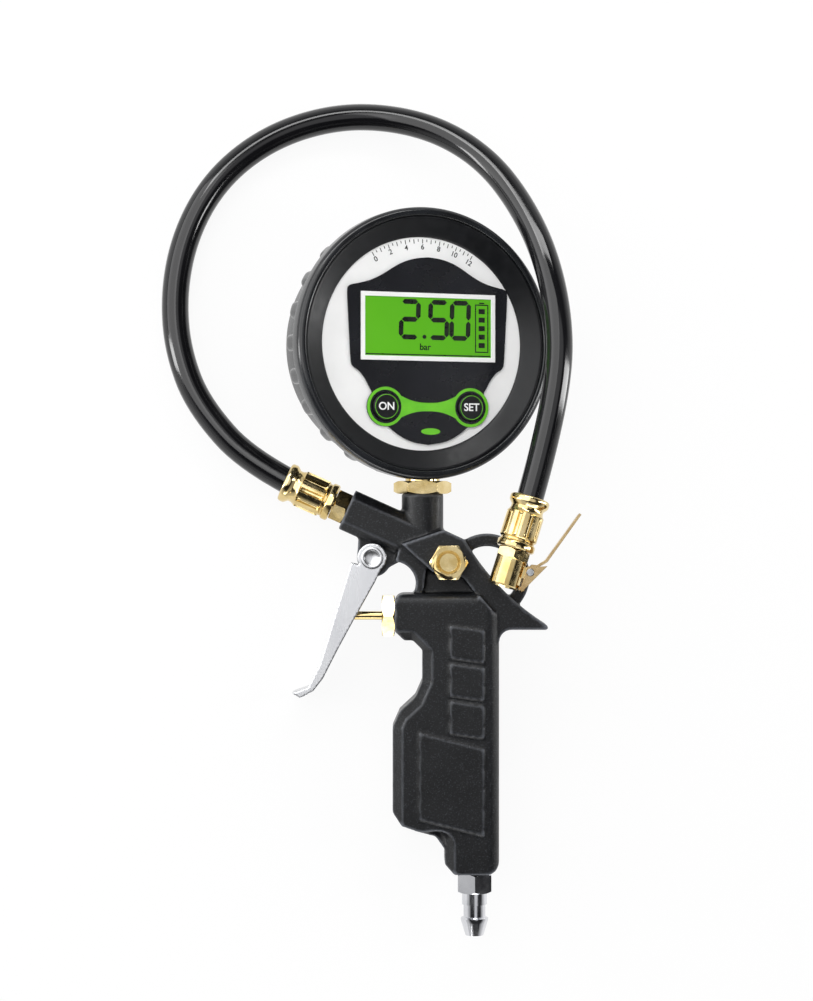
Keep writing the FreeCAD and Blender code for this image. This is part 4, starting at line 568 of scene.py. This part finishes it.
# the bezel slopes down to the dial from a narrow bright edge
bezelProfile = [(38.0, -5.0), (45.4, -5.0), (45.4, -1.25), (45.3, -1.0), (45.05, -0.9), (44.7, -0.9), (44.4, -1.0),
                (44.1, -1.17), (42.0, -2.33), (40.0, -3.43), (38.9, -4.05), (38.5, -4.3), (38.1, -4.6), (38.0, -4.8)]
bezelRing = addPiece("bezelSlope", turnedMesh("bezelSlope", bezelProfile, gaugeFrame, 480), blackPlastic, "gun")
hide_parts("bezel_ring")

# the trigger pin has flat heads with a dish
pin = {"radius": 2.0, "head": 4.0, "under": 6.7, "side": 1.1, "round": 0.4, "rim": 1.5, "land": 0.5,
       "dish": 0.85, "dishTop": 0.2, "dishEdge": 0.2, "dishCurve": 0.92, "dishRows": 12, "turns": 120}
rimTop = pin["under"] + pin["rim"]
landEdge = pin["head"] - pin["round"] - pin["land"]
# the dish is a hollow ellipse: its height is a little over the rim's, less the dish's depth times the
# root of one less most of the square of the share of the way out
outward = np.linspace(1, 0, pin["dishRows"])
dishHeight = rimTop + pin["dishTop"] - pin["dish"] * np.sqrt(1 - pin["dishCurve"] * outward ** 2)
upper = np.concatenate([
    [(pin["radius"], pin["under"]), (pin["head"], pin["under"]), (pin["head"], pin["under"] + pin["side"]),
     (pin["head"] - 0.3 * pin["round"], rimTop - 0.3 * pin["round"]), (pin["head"] - pin["round"], rimTop),
     (landEdge, rimTop)],
    np.column_stack([(landEdge - pin["dishEdge"]) * outward, dishHeight])])
lower = upper[::-1] * (1, -1)
pinFrame = Matrix.Translation(Vector(lying["pivot"]))
triggerPin = addPiece("triggerPinTurned", turnedMesh("triggerPinTurned", np.concatenate([lower, upper]),
                                                     pinFrame, pin["turns"]), satinNickel, "trigger")
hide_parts("trigger_pin")

# the sleeves are crimped on the hose, with long flutes between two collars
sleeve = {"length": 19.2, "bore": 2.6, "inside": 4.85, "collar": 6.85, "body": 6.7, "groove": 6.1, "waist": 5.9,
          "flange": 7.15, "slots": 10, "slotWidth": 1.7, "slotDepth": 1.0, "slotsFrom": 4.1, "slotsTo": 6.2,
          "rows": 36, "turns": 480, "armLow": 5.4, "chuckLow": 13.6}


def sleeveMesh(name, local, low):
    # A turned profile whose middle is cut by long slots. A slot takes away its depth times a hump raised
    # to 0.6: one less the fourth power of the share of half its width, times one less the eighth power
    # of the share of half its length.
    high = low + sleeve["length"]
    start, end = low + sleeve["slotsFrom"], high - sleeve["slotsTo"]
    rows, turns = sleeve["rows"], sleeve["turns"]
    head = [(sleeve["bore"], low), (sleeve["collar"] - 0.5, low), (sleeve["collar"], low + 0.5),
            (sleeve["collar"], low + 2.2), (sleeve["collar"] - 0.4, low + 2.7), (sleeve["groove"], low + 2.9),
            (sleeve["groove"], low + 3.5), (sleeve["body"] - 0.3, low + 3.75)]
    tail = [(sleeve["body"] - 0.3, high - 5.9), (sleeve["waist"], high - 4.8), (sleeve["waist"], high - 3.8),
            (sleeve["flange"] - 0.3, high - 2.7), (sleeve["flange"], high - 2.2), (sleeve["flange"], high - 0.8),
            (sleeve["flange"] - 0.2, high - 0.25), (sleeve["flange"] - 0.6, high), (sleeve["inside"], high),
            (sleeve["inside"], low + 1.2), (sleeve["bore"], low + 1.2)]
    along = np.linspace(start, end, rows)
    profile = np.concatenate([head, np.column_stack([np.full(rows, sleeve["body"]), along]), tail])
    angles = np.linspace(0, 2 * np.pi, turns, endpoint=False)
    pitch = 2 * np.pi / sleeve["slots"]
    across = np.abs((angles + pitch / 2) % pitch - pitch / 2) * sleeve["body"] / (sleeve["slotWidth"] / 2)
    reach = np.abs(along - (start + end) / 2) / ((end - start) / 2)
    cut = (np.clip(1 - across ** 4, 0, 1)[None, :] * np.clip(1 - reach ** 8, 0, 1)[:, None]) ** 0.6
    lift = np.zeros((len(profile), turns))
    lift[len(head):len(head) + rows] = -sleeve["slotDepth"] * cut
    return turnedMesh(name, profile, local, turns, lift)


for name, node, local, low in (("armSleeve", "hose_sleeve", armFrame, sleeve["armLow"]),
                               ("chuckEndSleeve", "chuck_sleeve", chuckFrame, sleeve["chuckLow"])):
    addPiece(name, sleeveMesh(name, local, low), polishedBrass, "gun")
    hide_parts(node)
print("turned pieces done")


# Rubber boot

boot = {"lip": 48.4, "lipDepth": 7.5, "lipRound": 1.9, "lipUnder": 1.4, "neckRound": 0.8, "seat": 45.4,
        "seatRound": 0.5, "set": 0.9, "wall": 42.4, "depth": 33.0, "backRound": 2.2, "window": 31.0,
        "windowRound": 0.6, "floor": 1.8, "inside": 40.2, "ledge": -6.0, "ribs": 24, "ribHeight": 4.9,
        "ribWidth": 7.2, "ribLength": 12.4, "ribRise": 2.0, "ribEnd": 14.5, "rows": 40, "turns": 1440,
        "shade": 50.0}


def bootMesh():
    # The boot is a closed profile turned about the gauge's axis. On the wall behind the lip each rib adds
    # its height times a hump raised to 0.7: one less the fourth power of the share of half the rib's
    # width, times one less the sixth power of the share of half its length, neither below nought.
    wall, under, back = boot["wall"], -boot["lipDepth"], -boot["depth"]
    front = np.concatenate([
        [(boot["seat"], -boot["set"])],
        arcPoints((boot["seat"] + boot["seatRound"], -boot["seatRound"]), boot["seatRound"], 180, 90, 4),
        arcPoints((boot["lip"] - boot["lipRound"], -boot["lipRound"]), boot["lipRound"], 90, 0, 9),
        arcPoints((boot["lip"] - boot["lipUnder"], under + boot["lipUnder"]), boot["lipUnder"], 0, -90, 7)])
    ribbed = np.concatenate([
        arcPoints((wall + boot["neckRound"], under - boot["neckRound"]), boot["neckRound"], 90, 180, 4),
        np.column_stack([np.full(boot["rows"], wall),
                         np.linspace(under - boot["neckRound"] - 0.4, under - boot["ribEnd"], boot["rows"])]),
        arcPoints((wall - boot["backRound"], back + boot["backRound"]), boot["backRound"], 0, -90, 7)])
    bend = boot["windowRound"]
    inner = np.concatenate([
        arcPoints((boot["window"] + bend, back + bend), bend, -90, -180, 4),
        [(boot["window"], back + boot["floor"]), (boot["inside"], back + boot["floor"]),
         (boot["inside"], boot["ledge"]), (boot["seat"], boot["ledge"])]])
    turns = np.linspace(0, 2 * np.pi, boot["turns"], endpoint=False)
    pitch = 2 * np.pi / boot["ribs"]
    offset = (turns + pitch / 2) % pitch - pitch / 2
    across = np.abs(offset * (wall + boot["ribRise"])) / (boot["ribWidth"] / 2)
    middle = under - boot["ribLength"] / 2 + boot["ribRise"]
    along = np.abs(ribbed[:, 1] - middle) / (boot["ribLength"] / 2 + boot["ribRise"])
    hump = (np.clip(1 - across ** 4, 0, 1)[None, :] * np.clip(1 - along ** 6, 0, 1)[:, None]) ** 0.7
    lift = np.zeros((len(front) + len(ribbed) + len(inner), boot["turns"]))
    outside = ribbed[:, 0] > wall - 0.1
    lift[len(front):len(front) + len(ribbed)] = boot["ribHeight"] * hump * outside[:, None]
    return turnedMesh("ribbedBoot", np.concatenate([front, ribbed, inner]), gaugeFrame, boot["turns"], lift,
                      boot["shade"])


ribbedBoot = addPiece("ribbedBoot", bootMesh(), bootRubber, "gun")
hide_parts("gauge_boot")
print("boot done")


# Dial: printed scale, display and the marks round the buttons

dial = {"face": -5.0, "panel": -4.4, "glass": -4.2, "buttonTop": -3.3,
        "scaleRadius": 37.3, "tickLong": 1.5, "tickShort": 0.9, "tickWide": 0.3,
        "numberRadius": 34.5, "numberTall": 1.9, "sweep": (121.0, 59.0), "ticks": 24, "top": 12, "slide": 2.0,
        "button": (16.3, -22.5), "ringInner": 5.95, "ringOuter": 7.0, "mark": (0.9, -31.2),
        "labelTall": 2.8, "labelOuter": 4.35, "labelInner": 4.15}

# the printed face sits a little to the right of the dial's middle
faceFrame = gaugeFrame @ Matrix.Translation((dial["slide"], 0, 0))


def tickRings():
    # each tick is a thin four-cornered bar along a radius, every second one longer
    share = np.linspace(0, 1, dial["ticks"] + 1)
    angle = np.radians(dial["sweep"][0] + (dial["sweep"][1] - dial["sweep"][0]) * share)
    long = np.where(np.arange(dial["ticks"] + 1) % 2 == 0, dial["tickLong"], dial["tickShort"])
    out = np.column_stack([np.cos(angle), np.sin(angle)])
    side = np.column_stack([-np.sin(angle), np.cos(angle)]) * dial["tickWide"] / 2
    top = out * dial["scaleRadius"]
    low = out * (dial["scaleRadius"] - long)[:, None]
    return np.stack([top - side, top + side, low + side, low - side], axis=1)


scaleInk = dial["face"] + inkLift
addPiece("scaleTicks", flatMesh("scaleTicks", tickRings(), scaleInk, gaugeFrame), blackInk, "gun")
for number in range(0, dial["top"] + 1, 2):
    share = number / dial["top"]
    angle = math.radians(dial["sweep"][0] + (dial["sweep"][1] - dial["sweep"][0]) * share)
    spot = (dial["numberRadius"] * math.cos(angle), dial["numberRadius"] * math.sin(angle))
    name = "scaleNumber%02d" % number
    addPiece(name, words(name, str(number), dial["numberTall"], spot, scaleInk, angle - math.pi / 2, gaugeFrame),
             blackInk, "gun")

display = {"size": (48.4, 21.0), "middle": 6.0, "digitTall": 12.6, "digitWide": 6.4, "bar": 1.75, "gap": 0.18,
           "slant": 0.03, "digits": [("2", -10.6), ("5", 0.5), ("0", 8.8)], "digitFoot": 2.3, "point": (-1.6, 2.5),
           "pointRadius": 0.75, "unit": (-1.3, -1.2), "unitTall": 2.4, "line": (-24.0, -4.2, 24.0, -3.75)}
segmentsOf = {"2": "abged", "5": "afgcd", "0": "abcdef"}


def segmentRings():
    # seven bars to a digit, each a hexagon drawn out along its way: two points at its ends and four
    # shoulders half its width in, all leaning a little with height
    wide, tall, bar, gap = display["digitWide"], display["digitTall"], display["bar"], display["gap"]
    half = bar / 2
    corners = {"a": ((0, tall), (wide, tall)), "g": ((0, tall / 2), (wide, tall / 2)), "d": ((0, 0), (wide, 0)),
               "f": ((0, tall / 2), (0, tall)), "b": ((wide, tall / 2), (wide, tall)),
               "e": ((0, 0), (0, tall / 2)), "c": ((wide, 0), (wide, tall / 2))}
    rings = []
    for digit, left in display["digits"]:
        for letter in segmentsOf[digit]:
            start, end = (np.array(corner, float) for corner in corners[letter])
            way = (end - start) / np.linalg.norm(end - start)
            side = np.array([-way[1], way[0]]) * half
            start, end = start + way * gap, end - way * gap
            points = np.array([start, start + way * half - side, end - way * half - side,
                               end, end - way * half + side, start + way * half + side])
            points[:, 0] += points[:, 1] * display["slant"] + left
            rings.append(points + (0, display["digitFoot"]))
    return rings


# the charge sign: an outline with its inside, a nib on top and a column of blocks
charge = {"outer": (18.0, -2.7, 23.2, 14.6), "inner": (18.4, -2.3, 22.8, 14.2), "nib": (19.6, 14.8, 21.6, 15.3),
          "left": 19.4, "right": 21.8, "low": -1.0, "tall": 1.8, "pitch": 3.05, "blocks": 5}
chargeRings = [rectangle(charge["left"], low, charge["right"], low + charge["tall"])
               for low in charge["low"] + charge["pitch"] * np.arange(charge["blocks"])]
chargeRings += [rectangle(*charge[part]) for part in ("outer", "inner", "nib")]
glassInk = dial["glass"] + inkLift
for name, outlines in (("displayDigits", segmentRings()),
                       ("displayPoint", [ring(display["pointRadius"], display["point"], 24)]),
                       ("displayCharge", chargeRings), ("displayLine", [rectangle(*display["line"])])):
    addPiece(name, flatMesh(name, outlines, glassInk, faceFrame), segmentInk, "gun")
addPiece("displayUnit", words("displayUnit", "bar", display["unitTall"], display["unit"], glassInk, 0.0, faceFrame),
         segmentInk, "gun")

# the black face is cut to a crown with shoulders; its right half is given from the crown down
panel = {"thick": 0.6, "upper": [(0, 30.9), (5.0, 30.4), (9.5, 29.0), (13.4, 26.9), (17.2, 24.4), (21.6, 22.2),
                                 (26.0, 21.0), (30.3, 20.2), (30.8, 18.0), (30.0, 4.0), (29.5, -6.0), (29.0, -8.4),
                                 (26.4, -9.8), (24.2, -12.4), (22.7, -15.2), (21.5, -17.2)],
         "lower": [(15.2, -29.6), (11.6, -32.5), (6.6, -35.0), (0, -36.0)], "hole": 5.1, "margin": 0.05,
         "arc": (42, -94, 36)}
buttonX, buttonY = dial["button"]
right = np.concatenate([cornersCut(panel["upper"]),
                        arcPoints((buttonX, buttonY), dial["ringOuter"] + panel["margin"], *panel["arc"]),
                        cornersCut(panel["lower"])])
halfWide, halfTall = display["size"][0] / 2, display["size"][1] / 2
panelRings = [np.concatenate([right, right[-2:0:-1] * (-1, 1)]),
              rectangle(-halfWide, display["middle"] - halfTall, halfWide, display["middle"] + halfTall),
              ring(panel["hole"], (-buttonX, buttonY)), ring(panel["hole"], (buttonX, buttonY))]
facePanel = addPiece("facePanelCut", flatMesh("facePanelCut", panelRings, dial["panel"] - panel["thick"] / 2,
                                              faceFrame, panel["thick"]), faceFilm, "gun")
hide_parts("face_panel")

panelInk = dial["panel"] + inkLift
for name, x in (("ringOn", -buttonX), ("ringSet", buttonX)):
    addPiece(name, flatMesh(name, [ring(dial["ringOuter"], (x, buttonY)), ring(dial["ringInner"], (x, buttonY))],
                            panelInk, faceFrame), greenInk, "gun")
# the band between the buttons narrows to its middle, both edges by a power of one less the cosine of
# the way across, and ends under the rings, in an arc about the button's middle
band = {"end": 12.34, "waist": 1.5, "flare": 3.4, "power": 1.3, "steps": 41, "under": 6.3, "arc": (129, 231, 14),
        "sink": 0.008, "leaf": (3.7, 1.15)}
way = np.linspace(-1, 1, band["steps"])
edge = band["waist"] + band["flare"] * (1 - np.cos(way * np.pi / 2)) ** band["power"]
bandX = way * band["end"]
under = arcPoints((buttonX, buttonY), band["under"], *band["arc"])[1:-1]
bandRing = np.concatenate([np.column_stack([bandX, buttonY + edge]), under,
                           np.column_stack([bandX[::-1], buttonY - edge]), under[::-1] * (-1, 1)])
addPiece("greenBand", flatMesh("greenBand", [bandRing], panelInk - band["sink"], faceFrame), greenInk, "gun")
leaf = ring(1.0, count=48) * band["leaf"] + dial["mark"]
addPiece("greenLeaf", flatMesh("greenLeaf", [leaf], panelInk, faceFrame), greenInk, "gun")

buttonInk = dial["buttonTop"] + inkLift
for name, text, x, body in (("labelOn", "ON", -buttonX, "on_button"), ("labelSet", "SET", buttonX, "set_button")):
    addPiece(name, words(name, text, dial["labelTall"], (x, buttonY), buttonInk, 0.0, faceFrame), whiteInk, body)
    rings = [ring(dial["labelOuter"], (x, buttonY)), ring(dial["labelInner"], (x, buttonY))]
    addPiece(name + "Ring", flatMesh(name + "Ring", rings, buttonInk, faceFrame), greenInk, body)
print("dial printed")


# Floor and light

studio = {"floor": "#fafafa", "size": 6.0, "keep": 0.92, "wall": "#d4d4d5", "ceiling": "#262628",
          "zenith": "#e2e2e4", "heights": (0.25, 0.6, 0.92, 0.962), "aim": (0, 130, 0)}
floorMesh = bpy.data.meshes.new("benchTop")
half = studio["size"] / 2
floorMesh.from_pydata([(-half, -half, 0), (half, -half, 0), (half, half, 0), (-half, half, 0)], [], [(0, 1, 2, 3)])
benchTop = bpy.data.objects.new("benchTop", floorMesh)
scene.collection.objects.link(benchTop)
paper = bpy.data.materials.new("whitePaperSweep")
paper.use_nodes = True
tree = paper.node_tree
tree.nodes.clear()
# white paper: it keeps part of the shadow, and for the rest it is plain white to the eye, to metal and to glass
seen = addNode(tree, "ShaderNodeLightPath")
either = addNode(tree, "ShaderNodeMath", {"operation": "MAXIMUM"},
                 {0: seen.outputs["Is Camera Ray"], 1: seen.outputs["Is Glossy Ray"]})
direct = addNode(tree, "ShaderNodeMath", {"operation": "MAXIMUM"},
               {0: either.outputs[0], 1: seen.outputs["Is Transmission Ray"]})
share = addNode(tree, "ShaderNodeMath", {"operation": "MULTIPLY", 1: studio["keep"]}, {0: direct.outputs[0]})
lit = addNode(tree, "ShaderNodeBsdfDiffuse", {"Color": colour(studio["floor"])})
white = addNode(tree, "ShaderNodeEmission", {"Color": (1, 1, 1, 1), "Strength": 1.0})
mixed = addNode(tree, "ShaderNodeMixShader",
                links={0: share.outputs[0], 1: lit.outputs["BSDF"], 2: white.outputs["Emission"]})
addNode(tree, "ShaderNodeOutputMaterial", links={"Surface": mixed.outputs["Shader"]})
floorMesh.materials.append(paper)

world = bpy.data.worlds.new("studio")
scene.world = world
world.use_nodes = True
tree = world.node_tree
tree.nodes.clear()
# pale walls, a darker ceiling and a bright opening overhead, by the height of the direction looked in,
# so that metal has something to mirror
direction = addNode(tree, "ShaderNodeTexCoord").outputs["Generated"]
height = addNode(tree, "ShaderNodeSeparateXYZ", links={"Vector": direction}).outputs["Z"]
tones = (studio["wall"], studio["ceiling"], studio["ceiling"], studio["zenith"])
walls = shades(tree, height, *zip(studio["heights"], tones))
air = addNode(tree, "ShaderNodeBackground", {"Strength": 1.0}, {"Color": walls})
addNode(tree, "ShaderNodeOutputWorld", links={"Surface": air.outputs["Background"]})

lamps = {
    "keyLeft": {"at": (-420, 420, 620), "size": (900, 1100), "watts": 6.2},
    "stripRight": {"at": (620, 150, 110), "size": (90, 620), "watts": 1.8},
    "stripLeft": {"at": (-560, 150, 120), "size": (90, 520), "watts": 1.4},
    "topStrip": {"at": (40, 720, 420), "size": (620, 140), "watts": 1.8},
    "footStrip": {"at": (0, -420, 200), "size": (520, 120), "watts": 0.8},
}
for name, lamp in lamps.items():
    light = bpy.data.lights.new(name, "AREA")
    light.shape = "RECTANGLE"
    light.size = lamp["size"][0] / 1000
    light.size_y = lamp["size"][1] / 1000
    light.energy = lamp["watts"]
    holder = bpy.data.objects.new(name, light)
    scene.collection.objects.link(holder)
    spot = Vector(onGround([lamp["at"]])[0])
    aim = Vector(onGround([studio["aim"]])[0])
    holder.matrix_world = (Matrix.Translation(spot)
                           @ (aim - spot).to_track_quat("-Z", "Y").to_matrix().to_4x4())
print("floor and light set")
